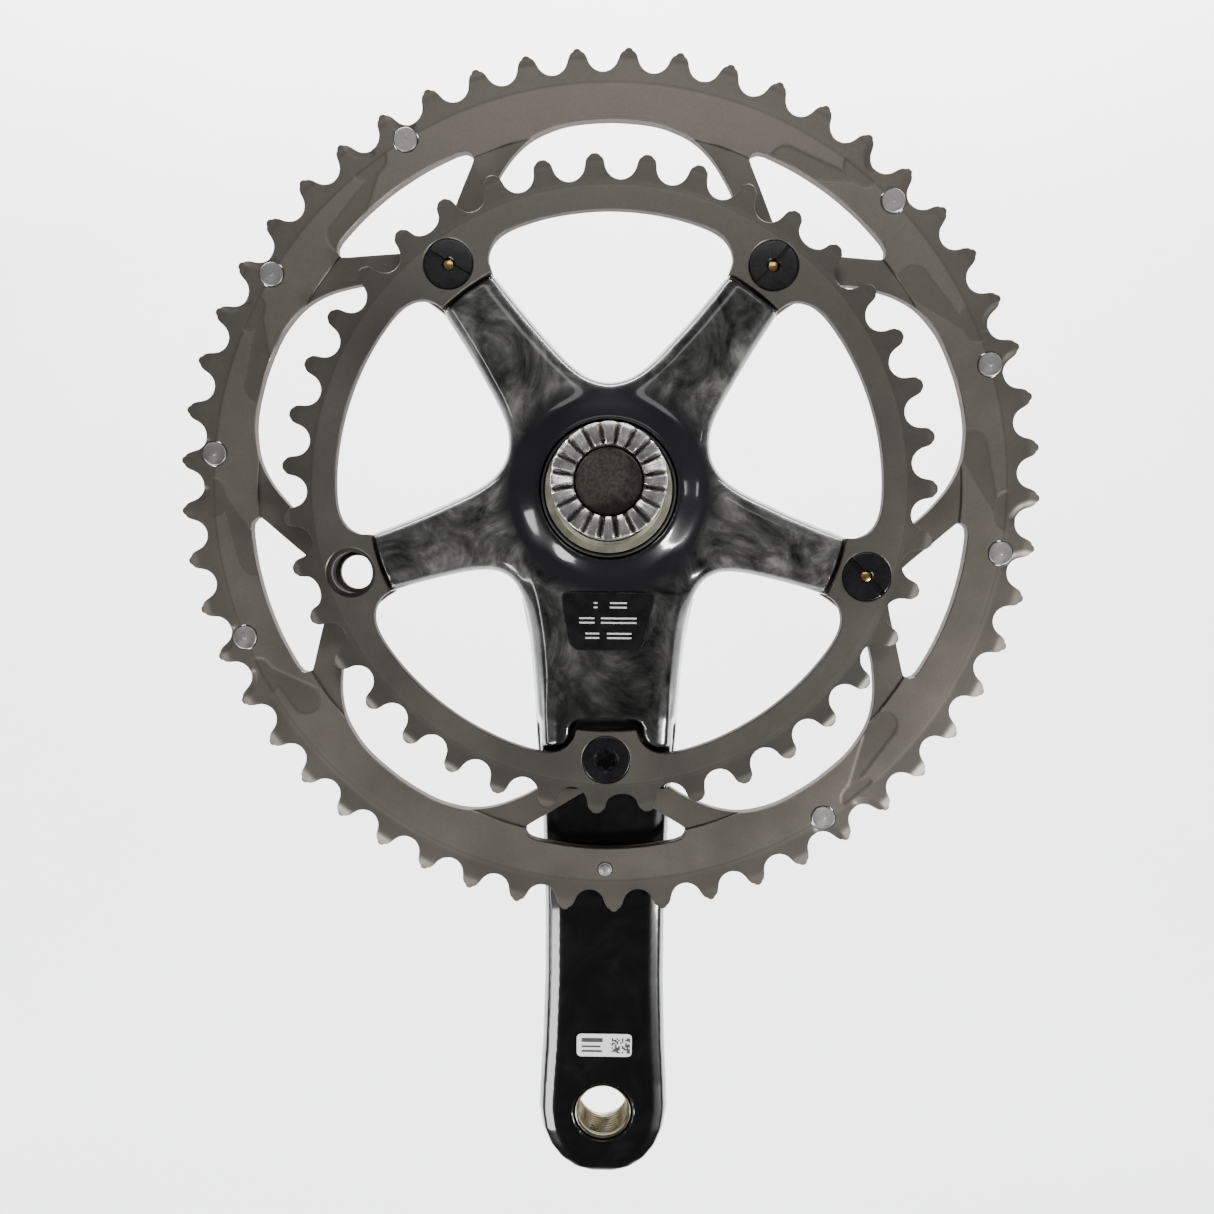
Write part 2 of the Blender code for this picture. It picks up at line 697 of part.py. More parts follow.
def catch_pin(axis, mat):
    """Pin that keeps a dropped chain from wedging beside the crank arm."""
    steps = ((CATCH_PIN_R, -10.6), (CATCH_PIN_R, -6.6), (CATCH_PIN_R - 0.6, -6.2))
    disc_body("chain_catch_pin", steps, 14, axis, 0.0, CATCH_PIN_Y).data.materials.append(mat)


def badge_outline():
    return rounded(BADGE_CORNERS, 2.0, 4)


def badge_plate(axis, mat):
    prism("badge_plate", [badge_outline()], *BADGE_Z, axis).data.materials.append(mat)


def rounded(corners, radius, steps):
    """Convex outline with each corner replaced by a short curve."""
    out = []
    count = len(corners)
    for i in range(count):
        a = Vector(corners[i - 1])
        b = Vector(corners[i])
        c = Vector(corners[(i + 1) % count])
        start = b + (a - b).normalized() * radius
        end = b + (c - b).normalized() * radius
        for k in range(steps + 1):
            t = k / steps
            p = start * (1 - t) ** 2 + b * 2 * t * (1 - t) + end * t ** 2
            out.append((p.x, p.y))
    return out


def label_sticker(axis, mat):
    """Thin label lying on the sloping inboard face of the crank arm."""
    label = prism("label_sticker", [rounded(LABEL_CORNERS, 1.4, 3)], 0.0, 0.25, axis)
    label.location = Vector(LABEL_SPOT) * MM
    label.rotation_euler = (LABEL_SLOPE, 0.0, 0.0)
    label.data.materials.append(mat)


def main():
    clear_scene()
    axis = bpy.data.objects.new("crank_axis", None)
    bpy.context.collection.objects.link(axis)
    axis.location = (0.0, SPINDLE_REACH * MM, 0.0)
    axis.rotation_euler = (math.pi / 2, 0.0, 0.0)
    alloy = anodised_alloy()
    black = black_alloy()
    plated = plated_steel()
    bushing = black_rubber()
    pins = pin_steel()
    crank_arm(axis, carbon())
    outer_chainring(axis, alloy)
    inner_chainring(axis, alloy)
    spindle(axis, polished_steel())
    shoulder_ring(axis, olive_alloy())
    spindle_seal(axis, bushing)
    bore_plug(axis, plug_plastic())
    dust_cap(axis, badge_black())
    pedal_insert(axis, bpy.data.materials["olive_alloy"])
    for number, angle in enumerate(FITTED_BOLTS, 1):
        chainring_nut(number, angle, axis, black)
        chainring_bolt(number, angle, axis, plated)
    arm_screw(axis, black)
    arm_insert(axis, bpy.data.materials["pin_steel"])
    for number, angle in enumerate(SPIDER_BOLTS, 1):
        spider_bushing(number, angle, axis, black)
    for number, tooth in enumerate(PIN_TEETH, 1):
        shift_pin(number, tooth, axis, pins)
    catch_pin(axis, pins)
    badge_plate(axis, bpy.data.materials["badge_black"])
    label_sticker(axis, label_white())
    for obj in bpy.data.objects:
        if obj.type == "MESH":
            obj.data.shade_smooth()
            obj.data.set_sharp_from_angle(angle=math.radians(30))


main()
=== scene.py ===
"""Looks of the bicycle crankset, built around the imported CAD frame.

Shapes are drawn in millimetres looking at the inboard side: x right, y up, z towards the viewer.
world() turns that drawing into the frame, where the toothed end of the spindle is at y = 0.
"""

import math

import bmesh
import bpy
import numpy as np
from mathutils import Matrix, Vector

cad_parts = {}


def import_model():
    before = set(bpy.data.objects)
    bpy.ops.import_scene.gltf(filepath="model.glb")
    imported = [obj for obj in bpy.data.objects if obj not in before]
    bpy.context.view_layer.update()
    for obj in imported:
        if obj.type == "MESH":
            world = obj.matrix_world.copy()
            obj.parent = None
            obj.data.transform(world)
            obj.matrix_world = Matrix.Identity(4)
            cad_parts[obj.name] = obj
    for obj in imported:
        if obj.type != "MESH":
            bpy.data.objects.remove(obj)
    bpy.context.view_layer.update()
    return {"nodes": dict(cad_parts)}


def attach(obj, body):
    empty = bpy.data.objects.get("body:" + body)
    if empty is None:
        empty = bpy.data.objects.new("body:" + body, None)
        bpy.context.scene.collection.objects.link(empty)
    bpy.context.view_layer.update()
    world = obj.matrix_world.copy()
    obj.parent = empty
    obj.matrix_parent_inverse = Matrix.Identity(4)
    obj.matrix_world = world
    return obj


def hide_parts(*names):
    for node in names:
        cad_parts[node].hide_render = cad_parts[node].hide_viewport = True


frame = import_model()
NODES = frame["nodes"]

MM = 0.001
REACH = 39.0  # height of the spindle's toothed end in the drawing
BOLT_R = 67.5
NUT_ANGLES = (-36.0, 36.0, 108.0)
SCREW_ANGLE = 180.0
EMPTY_ANGLE = 252.0
BOLT_ANGLES = (*NUT_ANGLES, SCREW_ANGLE, EMPTY_ANGLE)
PEDAL_Y = -170.0
CATCH_Y = -97.6
FLOOR_LEVEL = -0.30
FLOOR_FRONT = 0.12
BADGE_CORNERS = ((-11.6, -25.3), (11.9, -25.3), (8.6, -39.6), (-8.8, -39.6))
BADGE_ROWS = (
    (-28.4, ((-3.4, -2.5), (0.6, 4.8))),
    (-32.2, ((-7.0, -3.2), (-1.6, 7.2))),
    (-36.0, ((-5.4, -2.0), (-0.1, 6.0))),
)


def world(points):
    """Points of the drawing, in millimetres, as points of the frame in metres."""
    p = np.asarray(points, float).reshape(-1, 3)
    return np.stack([p[:, 0], REACH - p[:, 2], p[:, 1]], 1) * MM


def polar(angle, radius):
    """Point at an angle clockwise from straight up."""
    turn = math.radians(angle)
    return (radius * math.sin(turn), radius * math.cos(turn))


def smoothstep(low, high, value):
    t = np.clip((value - low) / (high - low), 0.0, 1.0)
    return t * t * (3 - 2 * t)


# ---------------------------------------------------------------- node materials

class Nodes:
    """A short way to write a node material."""

    def __init__(self, name):
        self.mat = bpy.data.materials.new(name)
        self.mat.use_nodes = True
        self.tree = self.mat.node_tree
        self.shader = self.tree.nodes["Principled BSDF"]
        coords = self.tree.nodes.new("ShaderNodeTexCoord")
        self.place = coords.outputs["Object"]

    def set(self, **values):
        for key, value in values.items():
            socket = self.shader.inputs[key.replace("_", " ")]
            socket.default_value = (*value, 1.0) if isinstance(value, tuple) else value

    def link(self, source, target):
        self.tree.links.new(source, self.shader.inputs[target] if isinstance(target, str) else target)

    def node(self, kind, inputs=(), **props):
        made = self.tree.nodes.new("ShaderNode" + kind)
        for key, value in props.items():
            setattr(made, key, value)
        for key, value in dict(inputs).items():
            if isinstance(value, bpy.types.NodeSocket):
                self.tree.links.new(value, made.inputs[key])
            else:
                made.inputs[key].default_value = value
        return made

    def noise(self, scale, detail=4.0, rough=0.5, distortion=0.0):
        inputs = {"Scale": scale, "Detail": detail, "Roughness": rough, "Distortion": distortion}
        return self.node("TexNoise", {"Vector": self.place, **inputs}).outputs["Fac"]

    def ramp(self, value, stops):
        made = self.node("ValToRGB", {"Fac": value})
        ramp = made.color_ramp
        while len(ramp.elements) < len(stops):
            ramp.elements.new(0.5)
        for element, (at, colour) in zip(ramp.elements, stops):
            element.position = at
            element.color = (*colour, 1.0) if isinstance(colour, tuple) else (colour, colour, colour, 1.0)
        return made.outputs["Color"]

    def mix(self, share, first, second, mode="MIX"):
        made = self.node("Mix", data_type="RGBA", blend_type=mode)
        for socket, value in ((made.inputs[0], share), (made.inputs[6], first), (made.inputs[7], second)):
            if isinstance(value, bpy.types.NodeSocket):
                self.tree.links.new(value, socket)
            elif isinstance(value, tuple):
                socket.default_value = (*value, 1.0)
            else:
                socket.default_value = value
        return made.outputs[2]

    def maths(self, kind, first, second=0.0):
        made = self.node("Math", operation=kind)
        for socket, value in zip(made.inputs, (first, second)):
            if isinstance(value, bpy.types.NodeSocket):
                self.tree.links.new(value, socket)
            else:
                socket.default_value = value
        return made.outputs[0]

    def spread(self, value, low, high, start=0.0, end=1.0):
        """Turns the range from low to high into the range from start to end, and holds it outside."""
        limits = {"From Min": low, "From Max": high, "To Min": start, "To Max": end}
        return self.node("MapRange", {"Value": value, **limits}).outputs[0]

    def axis(self, letter):
        return self.node("SeparateXYZ", {0: self.place}).outputs[letter]

    def bump(self, height, strength, distance=0.0002, normal=None):
        inputs = {"Height": height, "Strength": strength, "Distance": distance}
        if normal is not None:
            inputs["Normal"] = normal
        return self.node("Bump", inputs).outputs["Normal"]

    def radius(self):
        """Distance from the line along Y that the piece is turned about."""
        flat = self.node("VectorMath", {0: self.place, 1: (1.0, 0.0, 1.0)}, operation="MULTIPLY")
        return self.node("VectorMath", {0: flat.outputs[0]}, operation="LENGTH").outputs["Value"]

    def turning_marks(self, scale, detail):
        """Noise that changes only with the distance from that line."""
        spot = self.node("CombineXYZ", {0: self.radius()}).outputs[0]
        return self.node("TexNoise", {"Vector": spot, "Scale": scale, "Detail": detail}).outputs["Fac"]


def shaded(tint, share):
    return tuple(min(1.0, c * share) for c in tint)


def carbon_material():
    """Black carbon with cloudy grey patches of fibre under a thick gloss lacquer."""
    n = Nodes("lacquered_carbon")
    n.set(Metallic=0.0, Roughness=0.30, Specular_IOR_Level=0.15)
    n.set(Coat_Weight=1.0, Coat_Roughness=0.09, Coat_IOR=1.38)
    cloud = n.noise(52.0, 7.0, 0.66, distortion=2.2)
    fine = n.noise(210.0, 4.0, 0.6, distortion=0.8)
    squeezed = n.node("Mapping", {"Vector": n.place, "Scale": (1.0, 0.5, 1.7)}).outputs["Vector"]
    fibres = n.node("TexVoronoi", {"Vector": squeezed, "Scale": 120.0}, feature="SMOOTH_F1")
    grey = n.ramp(cloud, ((0.34, 0.0), (0.50, 0.30), (0.70, 1.0)))
    flake = n.mix(0.30, grey, n.ramp(fibres.outputs["Distance"], ((0.1, 1.0), (0.7, 0.0))), "MULTIPLY")
    flake = n.mix(0.45, flake, n.ramp(fine, ((0.35, 0.15), (0.65, 1.0))), "MULTIPLY")
    past_hub = n.spread(n.radius(), 0.0245, 0.0285)
    up_the_arm = n.spread(n.axis("Z"), -0.075, -0.010, 0.03, 1.0)
    share = n.maths("MULTIPLY", n.maths("MULTIPLY", past_hub, up_the_arm), flake)
    black = n.mix(past_hub, (0.0095, 0.0095, 0.0110), (0.0014, 0.0014, 0.0016))
    n.link(n.mix(share, black, (0.235, 0.232, 0.218)), "Base Color")
    ripple = n.bump(n.noise(120.0, 2.0, 0.5), 0.06, 0.0004)
    n.link(n.bump(n.noise(34.0, 2.0, 0.4), 0.10, 0.0012, ripple), "Coat Normal")
    return n.mat


# Painted shade: thin dark lines painted at the step of each ring. The scale brings a radius in metres into
# a ramp's range.
STEP_SCALE = 8.0
STEP_RADII = (73.4, 73.55, 73.65, 73.775, 100.375, 100.525, 100.65, 100.8)
STEP_SHADE_DARKNESS = (0.0, 0.55, 0.55, 0.0) * 2
STEP_SHADE_LINES = [(r * MM * STEP_SCALE, dark) for r, dark in zip(STEP_RADII, STEP_SHADE_DARKNESS)]


def alloy_material(name, tint, face):
    """Anodised ring: the teeth, ramps and pockets below the milled face are painted darker as shade, and
    thin dark lines of painted shade mark its steps.
    """
    n = Nodes(name)
    n.set(Metallic=0.75, Roughness=0.42, Specular_IOR_Level=0.3, Specular_Tint=(0.30, 0.27, 0.31))
    blotch = n.noise(45.0, 5.0, 0.6)
    base = n.mix(n.ramp(blotch, ((0.30, 0.0), (0.72, 1.0))), shaded(tint, 0.92), shaded(tint, 1.07))
    grain = n.ramp(n.noise(2600.0, 2.0, 0.6), ((0.40, 0.0), (0.62, 1.0)))
    base = n.mix(n.maths("MULTIPLY", grain, 0.22), base, shaded(tint, 0.62))
    # Painted shade: everything lower than the milled face (teeth zone, ramps, pockets) is painted darker
    face_depth = (REACH - face) * MM
    below = n.spread(n.axis("Y"), face_depth + 0.00001, face_depth + 0.00003)
    base = n.mix(below, base, n.mix(0.28, base, shaded(tint, 0.30)))
    # Painted shade: dark lines at the radii of the ring's steps
    line = n.ramp(n.maths("MULTIPLY", n.radius(), STEP_SCALE), STEP_SHADE_LINES)
    n.link(n.mix(line, base, shaded(tint, 0.50)), "Base Color")
    n.link(n.spread(blotch, 0.3, 0.7, 0.38, 0.47), "Roughness")
    fine = n.bump(n.turning_marks(5200.0, 2.0), 0.10, 0.00008)
    n.link(n.bump(n.noise(900.0, 2.0, 0.7), 0.12, 0.00006, fine), "Normal")
    return n.mat


def turned_metal(name, tint, roughness, lines=3600.0, strength=0.25, metallic=1.0):
    """Metal with fine turning marks about the piece's own axis."""
    n = Nodes(name)
    n.set(Metallic=metallic, Roughness=roughness)
    stain = n.noise(260.0, 4.0, 0.6)
    n.link(n.mix(n.ramp(stain, ((0.36, 0.0), (0.64, 1.0))), shaded(tint, 0.72), tint), "Base Color")
    n.link(n.spread(stain, 0.3, 0.7, roughness * 0.8, roughness * 1.3), "Roughness")
    n.link(n.bump(n.turning_marks(lines, 3.0), strength, 0.00006), "Normal")
    return n.mat


def spline_steel():
    """Ground steel; its toothed end has milling streaks that run outwards, and painted shade between the
    teeth.
    """
    n = Nodes("spindle_steel")
    n.set(Metallic=1.0, Roughness=0.20)
    turn = n.maths("ARCTAN2", n.axis("X"), n.axis("Z"))
    spot = n.node("CombineXYZ", {0: turn, 1: n.maths("MULTIPLY", n.radius(), 6.0)}).outputs[0]
    streak = n.node("TexNoise", {"Vector": spot, "Scale": 11.0, "Detail": 2.0, "Roughness": 0.5})
    stain = n.noise(300.0, 4.0, 0.6)
    worn = n.mix(n.ramp(stain, ((0.36, 0.0), (0.64, 1.0))), (0.80, 0.79, 0.78), (0.96, 0.95, 0.94))
    depth = n.axis("Y")
    # Painted shade: the valleys between the spline teeth are painted dark
    valley = n.maths("MULTIPLY", n.spread(depth, 0.0011, 0.0019), n.spread(depth, 0.0030, 0.0028))
    n.link(n.mix(valley, worn, (0.26, 0.24, 0.22)), "Base Color")
    n.link(n.spread(stain, 0.3, 0.7, 0.20, 0.32), "Roughness")
    fine = n.bump(n.noise(2200.0, 2.0, 0.5), 0.08, 0.00004)
    height = n.maths("MULTIPLY", streak.outputs["Fac"], n.spread(depth, 0.0036, 0.0030))
    n.link(n.bump(height, 1.0, 0.00006, fine), "Normal")
    return n.mat


def plain_material(name, tint, roughness, metallic=0.0, grain=500.0, strength=0.15, spread=0.3, gloss=0.5):
    """One colour with fine specks and uneven roughness."""
    n = Nodes(name)
    n.set(Metallic=metallic, Roughness=roughness, Specular_IOR_Level=gloss)
    speck = n.noise(grain, 4.0, 0.6)
    patch = n.noise(grain * 0.16, 3.0, 0.5)
    darker = tuple(c * (1 - spread) for c in tint)
    lighter = tuple(c * (1 + spread) for c in tint)
    n.link(n.mix(n.ramp(speck, ((0.38, 0.0), (0.62, 1.0))), darker, lighter), "Base Color")
    n.link(n.spread(patch, 0.3, 0.7, roughness * 0.8, roughness * 1.2), "Roughness")
    n.link(n.bump(speck, strength, 0.00008), "Normal")
    return n.mat


# ---------------------------------------------------------------- mesh helpers

def add_object(name, mesh, mat, slot, replaced=()):
    obj = bpy.data.objects.new(name, mesh)
    bpy.context.scene.collection.objects.link(obj)
    if mat is not None:
        obj.data.materials.clear()
        obj.data.materials.append(mat)
    if slot:
        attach(obj, "root")
    if replaced:
        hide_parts(*replaced)
    return obj


def mesh_from(name, points, faces):
    mesh = bpy.data.meshes.new(name)
    mesh.from_pydata(world(points).tolist(), [], [tuple(int(i) for i in f) for f in faces])
    mesh.update()
    return mesh


def grid_faces(rows, columns):
    """Quads of a grid that closes on itself both ways; index = row * columns + column."""
    row, column = np.meshgrid(np.arange(rows), np.arange(columns), indexing="ij")
    next_row = (row + 1) % rows
    next_column = (column + 1) % columns
    corners = [row * columns + column, row * columns + next_column]
    corners += [next_row * columns + next_column, next_row * columns + column]
    return np.stack(corners, -1).reshape(-1, 4)


def fix_normals(mesh):
    """Joins points that coincide and turns every face outwards."""
    bm = bmesh.new()
    bm.from_mesh(mesh)
    bmesh.ops.remove_doubles(bm, verts=bm.verts, dist=1e-7)
    bmesh.ops.recalc_face_normals(bm, faces=bm.faces)
    bm.to_mesh(mesh)
    bm.free()


def own_axis_mesh(name, points, faces):
    """Closed mesh drawn about the origin's own line, for seat() to put in its place."""
    p = np.asarray(points, float)
    turned = np.stack([p[:, 0], -p[:, 2], p[:, 1]], 1) * MM
    mesh = bpy.data.meshes.new(name)
    mesh.from_pydata(turned.tolist(), [], [tuple(int(i) for i in f) for f in faces])
    fix_normals(mesh)
    return mesh


def turned_mesh(name, profile, count):
    """Body turned about its own line from a closed profile of radius and height."""
    a = np.arange(count) * 2 * math.pi / count
    prof = np.array(profile, float)
    r = prof[:, :1]
    points = np.stack([r * np.cos(a), r * np.sin(a), prof[:, 1:] + 0 * a], -1).reshape(-1, 3)
    return own_axis_mesh(name, points, grid_faces(len(prof), count))


def seat(obj, x, y):
    """Puts a piece drawn about its own line in its place."""
    obj.location = (x * MM, REACH * MM, y * MM)


def smooth_shade(obj, angle=35.0):
    obj.data.shade_smooth()
    obj.data.set_sharp_from_angle(angle=math.radians(angle))
    weighted = obj.modifiers.new("even_normals", "WEIGHTED_NORMAL")
    weighted.keep_sharp = True
    weighted.weight = 80


def apply_modifiers(obj):
    bpy.context.view_layer.update()
    graph = bpy.context.evaluated_depsgraph_get()
    made = bpy.data.meshes.new_from_object(obj.evaluated_get(graph))
    obj.modifiers.clear()
    obj.data = made


def cut(obj, tool_mesh):
    """Cuts a closed mesh from an object and drops the tool."""
    tool = bpy.data.objects.new("tool", tool_mesh)
    bpy.context.scene.collection.objects.link(tool)
    modifier = obj.modifiers.new("cut", "BOOLEAN")
    modifier.operation = "DIFFERENCE"
    modifier.solver = "EXACT"
    modifier.object = tool
    apply_modifiers(obj)
    bpy.data.objects.remove(tool)


def curve_plate(name, outlines, z0, z1, edge):
    """Flat plate with holes and a small chamfer on every edge, from closed outlines."""
    curve = bpy.data.curves.new(name, "CURVE")
    curve.dimensions = "2D"
    curve.fill_mode = "BOTH"
    curve.extrude = (z1 - z0) / 2 * MM - edge * MM
    curve.bevel_depth = edge * MM
    curve.bevel_resolution = 1
    curve.offset = -edge * MM
    for outline in outlines:
        spline = curve.splines.new("POLY")
        spline.points.add(len(outline) - 1)
        for point, (x, y) in zip(spline.points, outline):
            point.co = (x * MM, y * MM, 0.0, 1.0)
        spline.use_cyclic_u = True
    obj = bpy.data.objects.new(name, curve)
    bpy.context.scene.collection.objects.link(obj)
    bpy.context.view_layer.update()
    mesh = bpy.data.meshes.new_from_object(obj)
    bpy.data.objects.remove(obj)
    bm = bmesh.new()
    bm.from_mesh(mesh)
    bmesh.ops.remove_doubles(bm, verts=bm.verts, dist=1e-6)
    middle = (z0 + z1) / 2
    for vert in bm.verts:
        x, y, z = vert.co
        vert.co = Vector((x, (REACH - middle) * MM - z, y))
    bm.to_mesh(mesh)
    bm.free()
    return mesh


def join_meshes(name, meshes):
    bm = bmesh.new()
    for mesh in meshes:
        bm.from_mesh(mesh)
    joined = bpy.data.meshes.new(name)
    bm.to_mesh(joined)
    bm.free()
    return joined


def catmull(points, steps):
    """Points along a smooth curve through the given ones."""
    p = np.array(points, float)
    p = np.vstack([p[:1], p, p[-1:]])
    out = []
    for before, start, end, after in zip(p, p[1:], p[2:], p[3:]):
        bend = 2 * before - 5 * start + 4 * end - after
        twist = 3 * start - before - 3 * end + after
        for k in range(steps):
            t = k / steps
            out.append(0.5 * (2 * start + (end - before) * t + bend * t * t + twist * t ** 3))
    out.append(p[-2])
    return np.array(out)


def circle(x, y, radius, count=32):
    turns = np.arange(count) * 2 * math.pi / count
    return [(x + radius * math.cos(t), y + radius * math.sin(t)) for t in turns]


# ---------------------------------------------------------------- chainrings

PITCH = 12.7
ROLLER_R = 3.95
OUTER = {"teeth": 53, "tip": 109.3, "half": 1.05, "phase": -1.25}
INNER = {"teeth": 39, "tip": 81.4, "half": 1.45, "phase": 1.67}
INNER_HOLE = ((5.15, -6.0), (5.15, -1.2), (6.12, -1.2), (6.12, 0.25), (6.4, 0.45), (6.4, 4.0))
PIN_TEETH = (6, 10, 14, 21, 36, 40, 44, 48)
PIN_LEAD = 1.2
SHORT_POCKET = 4
PIN_CIRCLE = 100.6
OUTER_FACE = -6.9  # height of the rings' milled inboard faces
INNER_FACE = 0.4
STEP_DROP = 0.09
RIM_R = 89.3
RING_CHAMFER = 0.22
RING_ROWS = 14
WINDOW_HALF = 13.3
OUTER_OPENING = (
    (0.0, 91.8), (6.3, 91.5), (9.8, 90.7), (13.2, 89.2), (16.6, 86.4), (19.7, 82.9),
    (22.5, 79.4), (25.0, 75.5), (26.7, 71.0), (27.7, 66.5), (28.4, 63.0), (28.7, 60.3),
)
INNER_OPENING = (
    (0.0, 67.9), (8.0, 67.9), (16.0, 67.9), (21.5, 67.7), (24.6, 66.9), (26.8, 65.3),
    (28.2, 63.2), (28.7, 61.6), (28.8, 60.3),
)
OUTER_WINDOW = (
    (0.0, 92.2), (6.0, 92.1), (11.5, 91.8), (12.9, 91.3), (13.5, 90.3), (13.2, 88.8),
    (11.2, 85.8), (8.0, 81.7), (5.0, 78.4), (2.6, 76.6), (0.0, 76.0),
)


def wrap(angle):
    """The same angle between -180 and 180 degrees."""
    return (angle + 180.0) % 360.0 - 180.0


def fold(angles):
    """Angle from the nearest multiple of 72 degrees."""
    return np.abs(wrap(angles * 5.0) / 5.0)


def pitch_radius(teeth):
    return PITCH / 2 / math.sin(math.pi / teeth)


def tooth_angle(number):
    """Angle of the valley before a tooth of the outer ring."""
    return OUTER["phase"] + number * 360.0 / OUTER["teeth"]


def pin_angle(tooth):
    return tooth_angle(tooth + 0.5) + PIN_LEAD


def tooth_radius(angles, ring, filled=()):
    """Outline radius of a sprocket at each angle; its valleys beside the filled angles are shallower."""
    pitch_r = pitch_radius(ring["teeth"])
    step = 360.0 / ring["teeth"]
    local = wrap((angles - ring["phase"]) * 360.0 / step) * step / 360.0
    valley = angles - local
    side = np.abs(np.radians(local)) * pitch_r
    depth = np.full_like(angles, ROLLER_R)
    for bolt in filled:
        depth = np.where(np.abs(wrap(valley - bolt)) < 4.2, ROLLER_R - 1.3, depth)
    root = pitch_r - depth * np.sqrt(np.clip(1 - (side / ROLLER_R) ** 2, 0.0, 1.0))
    half = ring["half"]
    tip = ring["tip"]
    root_end = ROLLER_R * 0.985
    foot = pitch_r - 0.65
    places = [0.0, half * 0.45, half * 0.8, half, half + 0.62, PITCH / 2 - root_end]
    radii = [tip, tip - 0.06, tip - 0.35, tip - 0.8, (tip + pitch_r) / 2, foot]
    flank = np.interp(PITCH / 2 - side, places, radii)
    return np.where(side < root_end, np.minimum(root, flank), np.maximum(flank, foot))


def ring_grid(name, angles, r_in, r_out, marks, top, low):
    """Closed ring between two outline radii, with faces at the heights top(r, angle) and low(r)."""
    inner = r_in[None, :]
    outer = r_out[None, :]
    edge = np.array([0.0, RING_CHAMFER, RING_CHAMFER * 2.2])[:, None]
    start = inner + edge
    end = outer - edge[::-1]
    levels = [start]
    previous = start[-1:]
    for mark in marks:
        previous = np.maximum(previous, np.minimum(mark, end[:1]))
        levels.append(previous)
    blend = np.linspace(0, 1, RING_ROWS)[1:-1, None]
    levels.append(previous + (end[:1] - previous) * blend)
    levels.append(end)
    r = np.vstack(levels)
    th = np.broadcast_to(angles[None, :], r.shape)
    chamfer = np.maximum(0.0, RING_CHAMFER - (r - inner)) + np.maximum(0.0, RING_CHAMFER - (outer - r))
    x = r * np.sin(np.radians(th))
    y = r * np.cos(np.radians(th))
    upper = np.stack([x, y, top(r, th) - chamfer], -1)
    lower = np.stack([x, y, low(r) + chamfer], -1)[::-1]
    points = np.concatenate([upper, lower], 0)
    return mesh_from(name, points.reshape(-1, 3), grid_faces(len(points), len(angles)))


def opening_radius(angles, profile):
    """Inner edge of a ring at each angle, from one half of its five-fold outline."""
    local = fold(angles)
    curve = catmull(profile, 8)
    order = np.argsort(curve[:, 0])
    last_angle, last_radius = profile[-1]
    edge = np.interp(local, curve[order, 0], curve[order, 1])
    return np.where(local < last_angle, edge, last_radius)


def window_edge(angles):
    """Outer edge radius of the closed windows behind the bolts, and 0 beside them."""
    local = fold(angles + 36.0)
    edge = np.interp(local, [0.0, 6.0, 11.5, 12.6, WINDOW_HALF], [92.2, 92.1, 91.8, 91.4, 90.3])
    return np.where(local < WINDOW_HALF, edge, 0.0)


def teardrop_distance(x, y, pin, short):
    """How far outside the teardrop pocket before a pin a point lies; it widens away from the pin."""
    tip = np.array(polar(pin - 4.2, 99.7))
    end = np.array(polar(pin - 12.5, 94.4) if short else polar(pin - 16.2, 92.2))
    reach = end - tip
    share = np.clip(((x - tip[0]) * reach[0] + (y - tip[1]) * reach[1]) / (reach @ reach), 0.0, 1.0)
    return np.hypot(x - tip[0] - share * reach[0], y - tip[1] - share * reach[1]) - 3.9 * share


def relief_outer(r, th):
    """Inboard face of the outer ring: raised rim, thinner teeth, shift ramps and pockets."""
    z = OUTER_FACE - STEP_DROP * smoothstep(100.1, 101.9, r)
    z = z - 0.75 * smoothstep(105.6, OUTER["tip"], r) ** 1.3
    x = r * np.sin(np.radians(th))
    y = r * np.cos(np.radians(th))
    pitch_r = pitch_radius(OUTER["teeth"])
    for number, tooth in enumerate(PIN_TEETH):
        pin = pin_angle(tooth)
        z = z - 0.10 * smoothstep(0.25, -0.25, teardrop_distance(x, y, pin, number == SHORT_POCKET))
        across = wrap(th - pin) + 6.2
        span = np.sqrt(np.clip(1 - (across / 2.7) ** 2, 0.0, 1.0))
        foot = 101.0 - 3.4 * span ** 0.7
        pocket = smoothstep(-0.25, 0.25, r - foot) * (np.abs(across) < 2.7) * smoothstep(101.6, 100.6, r)
        z = np.minimum(z, np.where(pocket > 0, OUTER_FACE - 0.12 * pocket, z))
        for valley in (tooth, tooth + 1):
            across = np.radians(wrap(th - tooth_angle(valley))) * pitch_r
            away = np.hypot(across, r - pitch_r)
            z = z - 0.40 * smoothstep(6.1, 4.1, away) * smoothstep(0.2, -1.2, across)
    return z


def back_outer(r):
    return -10.3 + 0.9 * smoothstep(100.3, 100.9, r) + 0.6 * smoothstep(105.6, OUTER["tip"], r)


def relief_inner(r, _):
    z = INNER_FACE - STEP_DROP * smoothstep(73.1, 74.9, r)
    return z - 0.6 * smoothstep(78.6, INNER["tip"], r) ** 1.4


def back_inner(r):
    return -2.6 + 0.6 * smoothstep(73.3, 73.8, r) + 0.5 * smoothstep(78.6, INNER["tip"], r)


def drill(name, spots, count):
    """One tool of stepped round holes: each spot is x, y and a list of radius and height from below."""
    tool = bmesh.new()
    for x, y, steps in spots:
        profile = [(0.0001, steps[0][1])] + list(steps) + [(0.0001, steps[-1][1])]
        mesh = turned_mesh(name, profile, count)
        mesh.transform(Matrix.Translation((x * MM, REACH * MM, y * MM)))
        tool.from_mesh(mesh)
        bpy.data.meshes.remove(mesh)
    made = bpy.data.meshes.new(name)
    tool.to_mesh(made)
    tool.free()
    return made


